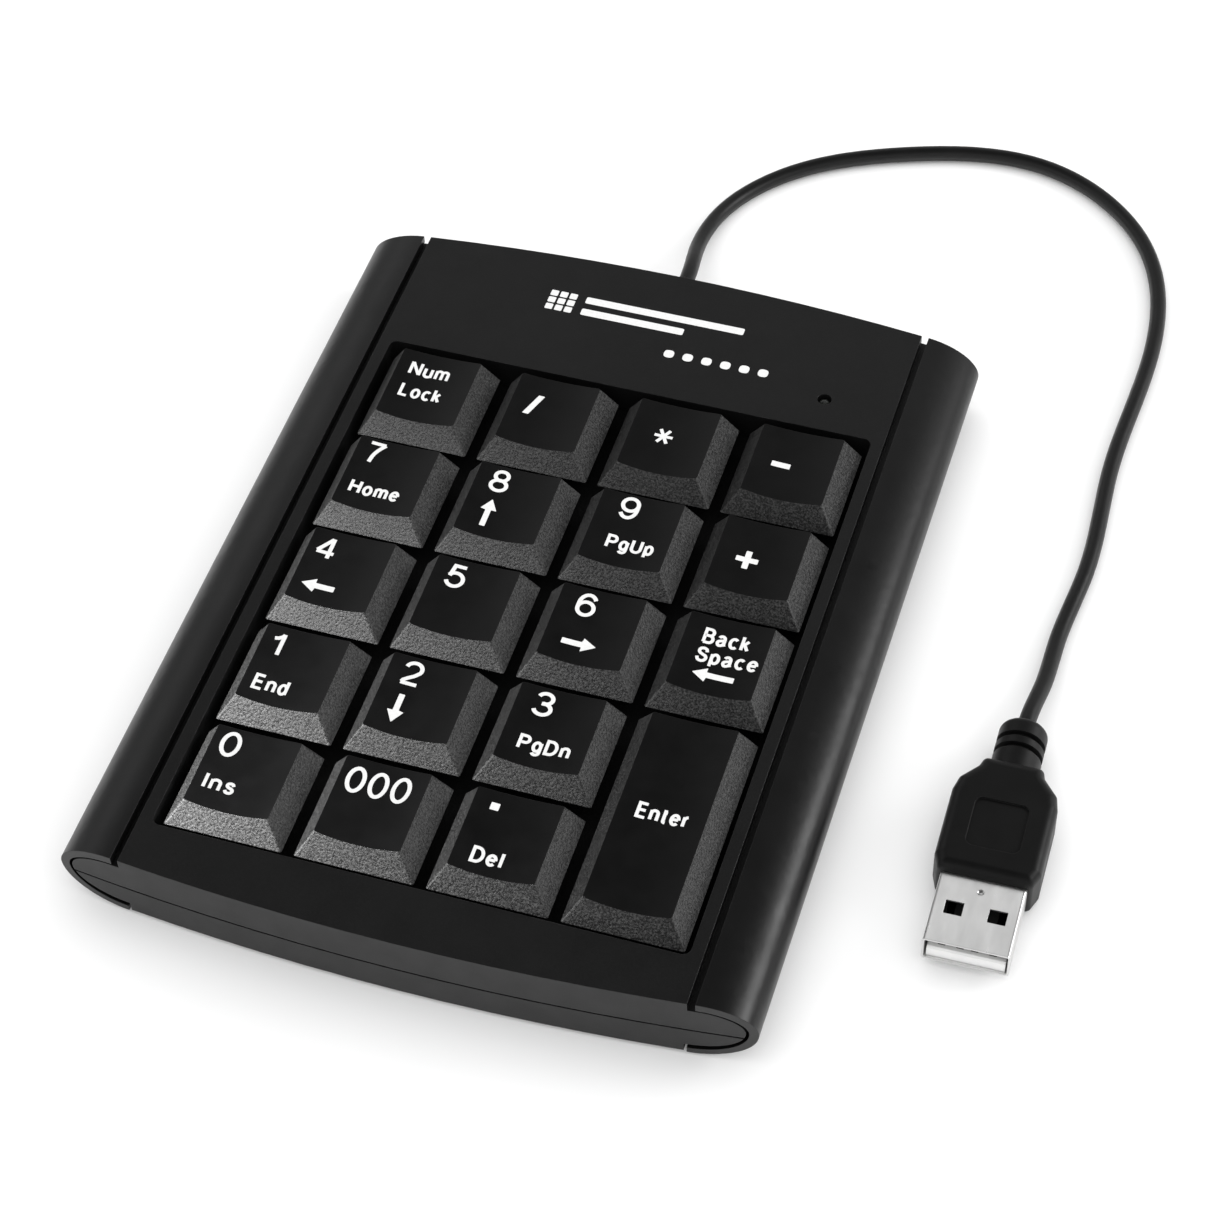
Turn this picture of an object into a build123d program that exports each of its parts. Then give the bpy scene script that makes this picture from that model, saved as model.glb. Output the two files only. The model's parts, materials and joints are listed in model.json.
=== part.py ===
from build123d import *
from math import sqrt
import os

os.makedirs("parts", exist_ok=True)

# USB numeric keypad, in millimetres.
# The origin is on the desk, below the middle of the case. +X is to the right, +Y is to the rear
# (the cable side) and +Z is up.

# ---------------------------------------------------------------- driving dimensions

# key grid
PITCH = 19.05
COLUMN_COUNT = 4
ROW_COUNT = 5
FIRST_ROW_Y = 29.7
TRAVEL = 2.4

# case heights
CASE_BOTTOM = 0.8
PARTING_Z = 6.0
CASE_TOP = 12.0
WALL = 1.6
TOP_WALL = 1.8

# plan outline of the case: bowed front and rear
FRONT_Y = -65.65
FRONT_RADIUS = 400.0
REAR_Y = 65.65
REAR_RADIUS = 360.0

# case ends and side rails, as seen from the front
END_Z = 7.0
RAIL_TOP_X = 41.2
RAIL_FOOT_X = 40.0
RAIL_OUTER_X = 49.6
RAIL_BOTTOM = 0.5
RAIL_WALL = 1.3
RAIL_LIP = 1.0
GAP_TOP = 0.25
GAP_SIDE = 0.45
GAP_UNDER = 0.9
GROOVE_INNER_X = 40.1
FOOT_NOTCH_X = 39.6

# key well
WELL_HALF_X = 38.25
WELL_FRONT_Y = -56.4
WELL_REAR_Y = 40.0
WELL_CORNER = 1.2
RIM_WALL = 1.2
RIM_BOTTOM_Z = 7.3

# keycaps
CAP_BASE_Z = 10.2
CAP_WIDTH = 17.3
CAP_DEPTH = 16.8
CAP_SIDE_INSET = 2.45
CAP_FRONT_INSET = 2.3
CAP_REAR_INSET = 1.25
CAP_FRONT_HEIGHT = 3.7
CAP_REAR_HEIGHT = 4.0
CAP_CORNER = 0.3
CAP_DISH_DEPTH = 0.5
CAP_WALL = 1.2
CAP_ROOF_Z = 12.3
STEM = 5.4
STEM_CORNER = 1.0
STEM_BOTTOM_Z = 7.02
HOOK_REACH = 0.55
HOOK_WIDTH = 1.8
HOOK_HEIGHT = 0.8

# key frame
FRAME_BOTTOM_Z = 6.0
FRAME_TOP_Z = 7.2
FRAME_HALF_X = 45.1
FRAME_FRONT_Y = -57.3
FRAME_REAR_Y = 41.5
GUIDE_TOP_Z = CAP_ROOF_Z - TRAVEL - 0.5
GUIDE_OUTER = 7.6
GUIDE_CLEARANCE = 0.06
GUIDE_SLOT_DEPTH = 0.65
POST_RADIUS = 1.1

# switch stack, from the bottom
PLATE_BOTTOM_Z = 2.41
PLATE_THICKNESS = 0.48
FILM_FIRST_Z = 2.91
FILM_THICKNESS = 0.10
FILM_STEP = 0.12
DOME_BASE_Z = 3.27
DOME_SHEET_THICKNESS = 0.5
DOME_TOP_Z = 7.0
DOME_FOOT_RADIUS = 4.4
DOME_NECK_RADIUS = 2.55
DOME_NECK_Z = 5.9
DOME_SKIN = 0.6
STACK_HALF_X = 38.8
STACK_FRONT_Y = -55.8
STACK_REAR_Y = 39.5
PEG_RADIUS = 1.0
PEG_CLEARANCE = 0.15

# controller board
BOARD_LEFT_X = -24.0
BOARD_RIGHT_X = 31.5
BOARD_FRONT_Y = 43.5
BOARD_REAR_Y = 58.0
BOARD_BOTTOM_Z = 3.27
BOARD_THICKNESS = 1.0
TAIL_HALF_X = 20.0
TAIL_END_Y = 49.0

# indicator lamp
LED_X = 29.2
LED_Y = 46.2
LED_HOLE_RADIUS = 1.1
LED_LENS_RADIUS = 0.95
LED_FLANGE_RADIUS = 1.45
LED_FLANGE_Z = 8.6

# fasteners and feet
CASE_SCREW_X = 36.0
CASE_SCREW_FRONT_Y = -60.2
CASE_SCREW_REAR_Y = 57.5
SCREW_RADIUS = 1.0
SCREW_FIT = 0.02
SCREW_HEAD_RADIUS = 1.9
FRAME_SCREW_X = 41.9
FRAME_SCREW_YS = (-46.0, -8.0, 30.0)
BOARD_SCREW_XS = (-20.0, 27.5)
CASE_SCREW_TIP_Z = 9.6
FRAME_SCREW_TIP_Z = 9.5
BOARD_SCREW_TIP_Z = 1.8
BOARD_SCREW_Y = 55.5
FOOT_RADIUS = 5.0
FOOT_RECESS = 0.8
FOOT_X = 29.0
FOOT_Y = 49.0

# cable and plug
CABLE_RADIUS = 1.25
CABLE_START_Y = 60.6
PLUG_X = 71.3
PLUG_Z = 3.9
PLUG_TURN = 1.2
BOOT_REAR_Y = -1.0
BOOT_RADIUS = 3.5
BODY_REAR_Y = -9.4
BODY_FRONT_Y = -29.5
BODY_WIDTH = 14.8
BODY_THICKNESS = 7.8
SHELL_WIDTH = 12.0
SHELL_HEIGHT = 4.5
SHELL_SHEET = 0.3
SHELL_FRONT_Y = -40.9
SHELL_REAR_Y = -25.0

# Enter key stabiliser wire
WIRE_RADIUS = 0.45
WIRE_PIVOT_DX = -5.4
WIRE_PIVOT_Z = 8.4
WIRE_ARM = 7.0
WIRE_TIP_Z = 10.2
WIRE_ARM_DY = 12.5
WIRE_TIP_LENGTH = 2.2
WIRE_CLIP_DY = 8.0
WIRE_HOLE_CLEARANCE = 0.05

# ---------------------------------------------------------------- derived places

COLUMNS = [PITCH * (i - (COLUMN_COUNT - 1) / 2) for i in range(COLUMN_COUNT)]
ROWS = [FIRST_ROW_Y - PITCH * i for i in range(ROW_COUNT)]
ENTER_Y = (ROWS[3] + ROWS[4]) / 2
HALF_LENGTH = 75.0
HALF_SPAN = 60.0

# one entry per key: name, column, first row, rows it spans
KEYS = [
    ("num_lock", 0, 0, 1),
    ("divide", 1, 0, 1),
    ("multiply", 2, 0, 1),
    ("minus", 3, 0, 1),
    ("7", 0, 1, 1),
    ("8", 1, 1, 1),
    ("9", 2, 1, 1),
    ("plus", 3, 1, 1),
    ("4", 0, 2, 1),
    ("5", 1, 2, 1),
    ("6", 2, 2, 1),
    ("backspace", 3, 2, 1),
    ("1", 0, 3, 1),
    ("2", 1, 3, 1),
    ("3", 2, 3, 1),
    ("enter", 3, 3, 2),
    ("0", 0, 4, 1),
    ("000", 1, 4, 1),
    ("decimal", 2, 4, 1),
]


def key_centre(key):
    """Middle of a key's base, from its column and the rows it spans."""
    _, column, row, span = key
    return COLUMNS[column], (ROWS[row] + ROWS[row + span - 1]) / 2


KEY_CENTRES = [key_centre(key) for key in KEYS]
CASE_SCREW_YS = (CASE_SCREW_FRONT_Y, CASE_SCREW_REAR_Y)
CASE_SCREWS = [(x, y) for x in (-CASE_SCREW_X, CASE_SCREW_X) for y in CASE_SCREW_YS]
FRAME_SCREWS = [(x, y) for x in (-FRAME_SCREW_X, FRAME_SCREW_X) for y in FRAME_SCREW_YS]
BOARD_SCREWS = [(x, BOARD_SCREW_Y) for x in BOARD_SCREW_XS]
CORNER_FEET = [(x, y) for x in (-FOOT_X, FOOT_X) for y in (-FOOT_Y, FOOT_Y)]
# a fifth foot in the middle keeps the floor from bending under the keys
FEET = CORNER_FEET + [(0, 0)]
# pegs and posts stand on the grid crossings, between four neighbouring stems
PEGS = [(x, y) for x in (-PITCH, PITCH) for y in (ROWS[0] - PITCH / 2, ENTER_Y)]
CROSSINGS = [(x, row - PITCH / 2) for x in (-PITCH, 0.0, PITCH) for row in ROWS[:-1]]
POSTS = [spot for spot in CROSSINGS if spot not in PEGS]


def save(part, name):
    """Label a finished piece and write it."""
    part.label = name
    export_step(part, f"parts/{name}.step")


def end_curve(top_x, foot_x, outer_x, rise, drop):
    """Rounded end of the case: an upper and a lower quarter ellipse that meet at the widest point."""
    EllipticalCenterArc((top_x, END_Z), outer_x - top_x, rise, 0, arc_size=90)
    EllipticalCenterArc((foot_x, END_Z), outer_x - foot_x, drop, 270, arc_size=90)


def plan_outline(inset):
    """Case outline from above: straight sides well outside the case, bowed front and rear."""
    front_mid = FRONT_Y + inset
    rear_mid = REAR_Y - inset
    front_corner = front_mid + FRONT_RADIUS - sqrt(FRONT_RADIUS**2 - HALF_SPAN**2)
    rear_corner = rear_mid - REAR_RADIUS + sqrt(REAR_RADIUS**2 - HALF_SPAN**2)
    with BuildSketch() as outline:
        with BuildLine():
            ThreePointArc((-HALF_SPAN, front_corner), (0, front_mid), (HALF_SPAN, front_corner))
            Line((HALF_SPAN, front_corner), (HALF_SPAN, rear_corner))
            ThreePointArc((HALF_SPAN, rear_corner), (0, rear_mid), (-HALF_SPAN, rear_corner))
            Line((-HALF_SPAN, rear_corner), (-HALF_SPAN, front_corner))
        make_face()
    return outline.sketch


def case_core():
    """Both covers as one block, before it is hollowed and split."""
    groove_z = CASE_TOP - RAIL_WALL - GAP_TOP
    foot_z = RAIL_BOTTOM + RAIL_LIP + GAP_UNDER
    outer_x = RAIL_OUTER_X - RAIL_WALL - GAP_SIDE
    with BuildPart() as core:
        with BuildSketch(Plane.XZ):
            with BuildLine():
                Line((0, CASE_TOP), (GROOVE_INNER_X, CASE_TOP))
                Polyline((GROOVE_INNER_X, CASE_TOP), (GROOVE_INNER_X, groove_z), (RAIL_TOP_X, groove_z))
                end_curve(RAIL_TOP_X, RAIL_FOOT_X, outer_x, groove_z - END_Z, END_Z - foot_z)
                Polyline((RAIL_FOOT_X, foot_z), (FOOT_NOTCH_X, foot_z), (FOOT_NOTCH_X, CASE_BOTTOM))
                Polyline((FOOT_NOTCH_X, CASE_BOTTOM), (0, CASE_BOTTOM), (0, CASE_TOP))
            make_face()
            mirror(about=Plane.YZ)
        extrude(amount=HALF_LENGTH, both=True)
        with BuildSketch():
            add(plan_outline(0))
        extrude(amount=CASE_TOP + 1, mode=Mode.INTERSECT)
    return core.part


def case_cavity():
    """Space inside the covers, one wall in from the core's surface."""
    groove_z = CASE_TOP - RAIL_WALL - GAP_TOP - WALL
    foot_z = RAIL_BOTTOM + RAIL_LIP + GAP_UNDER + WALL
    outer_x = RAIL_OUTER_X - RAIL_WALL - GAP_SIDE - WALL
    roof_z = CASE_TOP - TOP_WALL
    floor_z = CASE_BOTTOM + WALL
    with BuildPart() as cavity:
        with BuildSketch(Plane.XZ):
            with BuildLine():
                Polyline(
                    (0, roof_z),
                    (GROOVE_INNER_X - WALL, roof_z),
                    (GROOVE_INNER_X - WALL, groove_z),
                    (RAIL_TOP_X, groove_z),
                )
                end_curve(RAIL_TOP_X, RAIL_FOOT_X, outer_x, groove_z - END_Z, END_Z - foot_z)
                Polyline(
                    (RAIL_FOOT_X, foot_z),
                    (FOOT_NOTCH_X - WALL / 2, foot_z),
                    (FOOT_NOTCH_X - WALL / 2, floor_z),
                    (0, floor_z),
                )
                Line((0, floor_z), (0, roof_z))
            make_face()
            mirror(about=Plane.YZ)
        extrude(amount=HALF_LENGTH, both=True)
        with BuildSketch():
            add(plan_outline(WALL))
        extrude(amount=CASE_TOP + 1, mode=Mode.INTERSECT)
    return cavity.part


def well_outline(grow):
    """Key well from above, grown outwards by the given amount."""
    with BuildSketch(Plane((0, (WELL_FRONT_Y + WELL_REAR_Y) / 2, 0))) as outline:
        RectangleRounded(
            2 * (WELL_HALF_X + grow), WELL_REAR_Y - WELL_FRONT_Y + 2 * grow, WELL_CORNER + max(grow, 0)
        )
    return outline.sketch


# ---------------------------------------------------------------- case

CORE = case_core()
CAVITY = case_cavity()
CABLE_EXIT = Plane((0, REAR_Y + 5, PARTING_Z), x_dir=(1, 0, 0), z_dir=(0, 1, 0))
GROMMET_NECK_RADIUS = 1.95
GROMMET_HOLE_RADIUS = 2.0
TAB_YS = (-40.0, 0.0, 40.0)
TAB_LENGTH = 5.0
TAB_HEIGHT = 1.2
TAB_TIP_X = RAIL_OUTER_X - RAIL_WALL - 1.6
TAB_CLEARANCE = 0.1


def rail_tabs(grow):
    """Snap tabs of the right rail, or their windows when grown."""
    middle_x = (TAB_TIP_X + RAIL_OUTER_X - RAIL_WALL) / 2
    with BuildPart() as tabs:
        with Locations([(middle_x, y, END_Z + 0.6) for y in TAB_YS]):
            Box(
                RAIL_OUTER_X - RAIL_WALL - TAB_TIP_X + 0.4 + 2 * grow,
                TAB_LENGTH + 2 * grow,
                TAB_HEIGHT + 2 * grow,
            )
    return tabs.part


with BuildPart() as top_cover:
    add(CORE)
    split(bisect_by=Plane.XY.offset(PARTING_Z), keep=Keep.TOP)
    add(CAVITY, mode=Mode.SUBTRACT)
    # rim that hangs from the top wall around the key well
    with BuildSketch(Plane.XY.offset(RIM_BOTTOM_Z)):
        add(well_outline(RIM_WALL))
    extrude(amount=CASE_TOP - TOP_WALL / 2 - RIM_BOTTOM_Z)
    # bosses for the case screws
    with BuildSketch(Plane.XY.offset(PARTING_Z)):
        with Locations(CASE_SCREWS):
            Circle(SCREW_RADIUS + 1.2)
    extrude(amount=CASE_TOP - TOP_WALL / 2 - PARTING_Z)
    # bosses for the key frame screws
    with BuildSketch(Plane.XY.offset(FRAME_TOP_Z)):
        with Locations(FRAME_SCREWS):
            Circle(SCREW_RADIUS + 1.0)
    extrude(amount=2.4)
    with BuildSketch(Plane.XY.offset(RIM_BOTTOM_Z - 1)):
        add(well_outline(0))
    extrude(amount=CASE_TOP, mode=Mode.SUBTRACT)
    # pilot holes, indicator hole, cable outlet and tab windows
    with BuildSketch(Plane.XY.offset(PARTING_Z)):
        with Locations(CASE_SCREWS):
            Circle(SCREW_RADIUS + SCREW_FIT)
    extrude(amount=4.5, mode=Mode.SUBTRACT)
    with BuildSketch(Plane.XY.offset(FRAME_TOP_Z)):
        with Locations(FRAME_SCREWS):
            Circle(SCREW_RADIUS - 0.2 + SCREW_FIT)
    extrude(amount=2.5, mode=Mode.SUBTRACT)
    with BuildSketch(Plane.XY.offset(CASE_TOP - 2 * TOP_WALL)):
        with Locations((LED_X, LED_Y)):
            Circle(LED_HOLE_RADIUS)
    extrude(amount=3 * TOP_WALL, mode=Mode.SUBTRACT)
    with BuildSketch(CABLE_EXIT):
        Circle(GROMMET_HOLE_RADIUS)
    extrude(amount=-9, mode=Mode.SUBTRACT)
    add(rail_tabs(TAB_CLEARANCE), mode=Mode.SUBTRACT)
    add(mirror(rail_tabs(TAB_CLEARANCE), about=Plane.YZ, mode=Mode.PRIVATE), mode=Mode.SUBTRACT)
save(top_cover.part, "top_cover")

FLOOR_Z = CASE_BOTTOM + WALL
SCREW_SEAT_Z = 3.0
SHADOW_LINE = 0.3

with BuildPart() as bottom_cover:
    add(CORE)
    split(bisect_by=Plane.XY.offset(PARTING_Z), keep=Keep.BOTTOM)
    add(CAVITY, mode=Mode.SUBTRACT)
    # case screw posts, board standoffs and locating pegs stand on the floor
    with BuildSketch(Plane.XY.offset(CASE_BOTTOM)):
        with Locations(CASE_SCREWS):
            Circle(SCREW_HEAD_RADIUS + 1.0)
    extrude(amount=PARTING_Z - CASE_BOTTOM)
    with BuildSketch(Plane.XY.offset(FLOOR_Z - 0.2)):
        with Locations(BOARD_SCREWS):
            Circle(2.4)
    extrude(amount=BOARD_BOTTOM_Z - FLOOR_Z + 0.2)
    with BuildSketch(Plane.XY.offset(FLOOR_Z - 0.2)):
        with Locations(PEGS):
            Circle(PEG_RADIUS)
    extrude(amount=1.5)
    # screw holes with head recesses, board pilot holes, foot recesses and cable outlet
    with Locations(Plane((0, 0, CASE_BOTTOM), x_dir=(1, 0, 0), z_dir=(0, 0, -1))):
        with Locations([(x, -y) for x, y in CASE_SCREWS]):
            CounterBoreHole(
                SCREW_RADIUS + 0.1, SCREW_HEAD_RADIUS + 0.2, SCREW_SEAT_Z - CASE_BOTTOM, PARTING_Z
            )
        with Locations([(x, -y) for x, y in FEET]):
            Hole(FOOT_RADIUS + 0.05, FOOT_RECESS)
    with BuildSketch(Plane.XY.offset(BOARD_BOTTOM_Z)):
        with Locations(BOARD_SCREWS):
            Circle(SCREW_RADIUS - 0.2 + SCREW_FIT)
    extrude(amount=-1.7, mode=Mode.SUBTRACT)
    with BuildSketch(CABLE_EXIT):
        Circle(GROMMET_HOLE_RADIUS)
    extrude(amount=-9, mode=Mode.SUBTRACT)
    # shadow line along the front and rear, just under the parting plane
    with BuildSketch(Plane.XY.offset(PARTING_Z - SHADOW_LINE)):
        add(plan_outline(-1))
        add(plan_outline(2 * SHADOW_LINE), mode=Mode.SUBTRACT)
    extrude(amount=SHADOW_LINE + 1, mode=Mode.SUBTRACT)
save(bottom_cover.part, "bottom_cover")


def rail():
    """Right side rail: a C section bowed at both ends like the case."""
    inner_x = RAIL_OUTER_X - RAIL_WALL
    rise = CASE_TOP - END_Z
    drop = END_Z - RAIL_BOTTOM
    with BuildPart() as trim:
        with BuildSketch(Plane.XZ):
            with BuildLine():
                end_curve(RAIL_TOP_X, RAIL_FOOT_X, RAIL_OUTER_X, rise, drop)
                Line((RAIL_TOP_X, CASE_TOP), (RAIL_TOP_X, CASE_TOP - RAIL_WALL))
                end_curve(RAIL_TOP_X, RAIL_FOOT_X, inner_x, rise - RAIL_WALL, drop - RAIL_LIP)
                Line((RAIL_FOOT_X, RAIL_BOTTOM), (RAIL_FOOT_X, RAIL_BOTTOM + RAIL_LIP))
            make_face()
        extrude(amount=HALF_LENGTH, both=True)
        with BuildSketch():
            add(plan_outline(0))
        extrude(amount=CASE_TOP + 1, mode=Mode.INTERSECT)
        add(rail_tabs(0))
    return trim.part


with BuildPart() as side_rail_right:
    add(rail())
save(side_rail_right.part, "side_rail_right")

with BuildPart() as side_rail_left:
    add(mirror(rail(), about=Plane.YZ, mode=Mode.PRIVATE))
save(side_rail_left.part, "side_rail_left")

# ---------------------------------------------------------------- keycaps

STEM_HOLE = STEM + 2 * GUIDE_CLEARANCE
TIP_DX_LEVEL = WIRE_PIVOT_DX + WIRE_ARM
CLIP_WIDTH = 3.6
CLIP_DEPTH = 1.8
CLIP_BOTTOM_Z = WIRE_TIP_Z - 1.3
SLOT_WIDTH = 1.9


def keycap(key):
    """Hollow keycap with a dished top, a square stem and two snap hooks; Enter also has wire clips."""
    x, y = key_centre(key)
    depth = CAP_DEPTH + PITCH * (key[3] - 1)
    top_depth = depth - CAP_FRONT_INSET - CAP_REAR_INSET
    top_width = CAP_WIDTH - 2 * CAP_SIDE_INSET
    top_y = y + (CAP_FRONT_INSET - CAP_REAR_INSET) / 2
    rise = CAP_REAR_HEIGHT - CAP_FRONT_HEIGHT
    tilt = Vector(0, top_depth, rise).normalized()
    top_centre = (x, top_y, CAP_BASE_Z + (CAP_FRONT_HEIGHT + CAP_REAR_HEIGHT) / 2)
    top_plane = Plane(top_centre, x_dir=(1, 0, 0), z_dir=(0, -tilt.Z, tilt.Y))
    dish_radius = ((top_width / 2) ** 2 + CAP_DISH_DEPTH**2) / (2 * CAP_DISH_DEPTH)
    across_top = Plane(top_centre, x_dir=(1, 0, 0), z_dir=(0, -tilt.Y, -tilt.Z))
    with BuildPart() as cap:
        with BuildSketch(Plane((x, y, CAP_BASE_Z))):
            RectangleRounded(CAP_WIDTH, depth, CAP_CORNER)
        with BuildSketch(top_plane):
            RectangleRounded(top_width, top_depth, CAP_CORNER)
        loft()
        # shallow cylindrical dish, front to rear
        with BuildSketch(across_top):
            with Locations((0, dish_radius - CAP_DISH_DEPTH)):
                Circle(dish_radius)
        extrude(amount=depth, both=True, mode=Mode.SUBTRACT)
        with BuildSketch(Plane((x, y, CAP_BASE_Z))):
            RectangleRounded(CAP_WIDTH - 2 * CAP_WALL, depth - 2 * CAP_WALL, CAP_CORNER / 2)
        with BuildSketch(Plane((x, top_y, CAP_ROOF_Z))):
            RectangleRounded(top_width - 0.4, top_depth - 0.2, CAP_CORNER / 2)
        loft(mode=Mode.SUBTRACT)
        # stem and hooks
        with BuildSketch(Plane((x, y, STEM_BOTTOM_Z))):
            RectangleRounded(STEM, STEM, STEM_CORNER)
        extrude(amount=CAP_ROOF_Z + 0.3 - STEM_BOTTOM_Z)
        with Locations((x, y, STEM_BOTTOM_Z + HOOK_HEIGHT / 2)):
            Box(STEM + 2 * HOOK_REACH, HOOK_WIDTH, HOOK_HEIGHT)
        if key[0] == "enter":
            for side in (-1, 1):
                clip_y = y + side * (WIRE_ARM_DY + WIRE_TIP_LENGTH / 2 + 0.3)
                clip_x = x + TIP_DX_LEVEL - 0.12
                clip_height = CAP_ROOF_Z + 0.3 - CLIP_BOTTOM_Z
                with Locations((clip_x, clip_y, CLIP_BOTTOM_Z + clip_height / 2)):
                    Box(CLIP_WIDTH, CLIP_DEPTH, clip_height)
                with BuildSketch(Plane((clip_x, clip_y, WIRE_TIP_Z), x_dir=(1, 0, 0), z_dir=(0, 1, 0))):
                    SlotOverall(SLOT_WIDTH, 2 * (WIRE_RADIUS + WIRE_HOLE_CLEARANCE))
                extrude(amount=CLIP_DEPTH, both=True, mode=Mode.SUBTRACT)
    return cap.part


for key in KEYS:
    save(keycap(key), f"keycap_{key[0]}")

# ---------------------------------------------------------------- key frame and stabiliser

WIRE_X = COLUMNS[3] + WIRE_PIVOT_DX
CLIP_HALF_WIDTH = 0.85
CLIP_HALF_LENGTH = 1.2

with BuildPart() as key_frame:
    with BuildSketch(Plane((0, (FRAME_FRONT_Y + FRAME_REAR_Y) / 2, FRAME_BOTTOM_Z))):
        RectangleRounded(2 * FRAME_HALF_X, FRAME_REAR_Y - FRAME_FRONT_Y, 2.0)
    extrude(amount=FRAME_TOP_Z - FRAME_BOTTOM_Z)
    # one square guide per key
    with BuildSketch(Plane.XY.offset(FRAME_TOP_Z)):
        with Locations(KEY_CENTRES):
            RectangleRounded(GUIDE_OUTER, GUIDE_OUTER, 1.6)
    extrude(amount=GUIDE_TOP_Z - FRAME_TOP_Z)
    with BuildSketch(Plane.XY.offset(FRAME_BOTTOM_Z)):
        with Locations(KEY_CENTRES):
            RectangleRounded(STEM_HOLE, STEM_HOLE, STEM_CORNER + GUIDE_CLEARANCE)
    extrude(amount=GUIDE_TOP_Z, mode=Mode.SUBTRACT)
    # slots that the snap hooks slide in
    with BuildSketch(Plane.XY.offset(FRAME_BOTTOM_Z)):
        with Locations(KEY_CENTRES):
            Rectangle(STEM_HOLE + 2 * GUIDE_SLOT_DEPTH, HOOK_WIDTH + 0.3)
    extrude(amount=STEM_BOTTOM_Z + HOOK_HEIGHT + 0.1 - FRAME_BOTTOM_Z, mode=Mode.SUBTRACT)
    # posts that press the dome sheet flat
    with BuildSketch(Plane.XY.offset(DOME_BASE_Z + DOME_SHEET_THICKNESS + 0.02)):
        with Locations(POSTS):
            Circle(POST_RADIUS)
    extrude(amount=FRAME_BOTTOM_Z + 0.2 - DOME_BASE_Z - DOME_SHEET_THICKNESS)
    with BuildSketch(Plane.XY.offset(FRAME_BOTTOM_Z)):
        with Locations(FRAME_SCREWS):
            Circle(SCREW_RADIUS - 0.2 + SCREW_FIT)
    extrude(amount=2, mode=Mode.SUBTRACT)
    # bearing clips for the stabiliser wire, and room for the Enter key's own clips
    with Locations([(WIRE_X, ENTER_Y + side * WIRE_CLIP_DY, FRAME_TOP_Z + 0.9) for side in (-1, 1)]):
        Box(2 * CLIP_HALF_WIDTH, 2 * CLIP_HALF_LENGTH, 2.2)
    with BuildSketch(Plane((WIRE_X, ENTER_Y, WIRE_PIVOT_Z), x_dir=(1, 0, 0), z_dir=(0, 1, 0))):
        Circle(WIRE_RADIUS + WIRE_HOLE_CLEARANCE)
    extrude(amount=PITCH / 2 + 2, both=True, mode=Mode.SUBTRACT)
    with BuildSketch(Plane.XY.offset(FRAME_BOTTOM_Z)):
        clip_x = COLUMNS[3] + TIP_DX_LEVEL - 0.12
        with Locations([(clip_x, ENTER_Y + side * (WIRE_ARM_DY + 1.4)) for side in (-1, 1)]):
            Rectangle(CLIP_WIDTH + 0.8, CLIP_DEPTH + 1.0)
    extrude(amount=2, mode=Mode.SUBTRACT)
save(key_frame.part, "key_frame")

TIP_RISE = WIRE_TIP_Z - WIRE_PIVOT_Z
TIP_X = WIRE_X + sqrt(WIRE_ARM**2 - TIP_RISE**2)

with BuildPart() as enter_stabiliser:
    with BuildLine() as wire_path:
        Polyline(
            (TIP_X, ENTER_Y - WIRE_ARM_DY - WIRE_TIP_LENGTH, WIRE_TIP_Z),
            (TIP_X, ENTER_Y - WIRE_ARM_DY, WIRE_TIP_Z),
            (WIRE_X, ENTER_Y - WIRE_ARM_DY, WIRE_PIVOT_Z),
            (WIRE_X, ENTER_Y + WIRE_ARM_DY, WIRE_PIVOT_Z),
            (TIP_X, ENTER_Y + WIRE_ARM_DY, WIRE_TIP_Z),
            (TIP_X, ENTER_Y + WIRE_ARM_DY + WIRE_TIP_LENGTH, WIRE_TIP_Z),
        )
        fillet(wire_path.vertices().group_by(Axis.Y)[1:-1], 0.8)
    with BuildSketch(Plane(wire_path.wires()[0] @ 0, z_dir=wire_path.wires()[0] % 0)):
        Circle(WIRE_RADIUS)
    sweep()
save(enter_stabiliser.part, "enter_stabiliser")

# ---------------------------------------------------------------- switch stack

STACK_MIDDLE_Y = (STACK_FRONT_Y + STACK_REAR_Y) / 2
STACK_DEPTH = STACK_REAR_Y - STACK_FRONT_Y


def stack_sheet(bottom_z, thickness, tail, key_hole_radius):
    """Flat sheet of the switch stack, with its peg holes and, on request, key holes and a tail."""
    with BuildPart() as sheet:
        with BuildSketch(Plane.XY.offset(bottom_z)):
            with Locations((0, STACK_MIDDLE_Y)):
                Rectangle(2 * STACK_HALF_X, STACK_DEPTH)
            if tail:
                with Locations((0, (STACK_REAR_Y + TAIL_END_Y) / 2)):
                    Rectangle(2 * TAIL_HALF_X, TAIL_END_Y - STACK_REAR_Y)
            with Locations(PEGS):
                Circle(PEG_RADIUS + PEG_CLEARANCE, mode=Mode.SUBTRACT)
            if key_hole_radius > 0:
                with Locations(KEY_CENTRES):
                    Circle(key_hole_radius, mode=Mode.SUBTRACT)
        extrude(amount=thickness)
    return sheet.part


with BuildPart() as backing_plate:
    add(stack_sheet(PLATE_BOTTOM_Z, PLATE_THICKNESS, False, 0))
save(backing_plate.part, "backing_plate")

with BuildPart() as membrane_bottom:
    add(stack_sheet(FILM_FIRST_Z, FILM_THICKNESS, True, 0))
save(membrane_bottom.part, "membrane_bottom")

with BuildPart() as membrane_spacer:
    add(stack_sheet(FILM_FIRST_Z + FILM_STEP, FILM_THICKNESS, False, 2.5))
save(membrane_spacer.part, "membrane_spacer")

with BuildPart() as membrane_top:
    add(stack_sheet(FILM_FIRST_Z + 2 * FILM_STEP, FILM_THICKNESS, True, 0))
save(membrane_top.part, "membrane_top")


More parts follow.
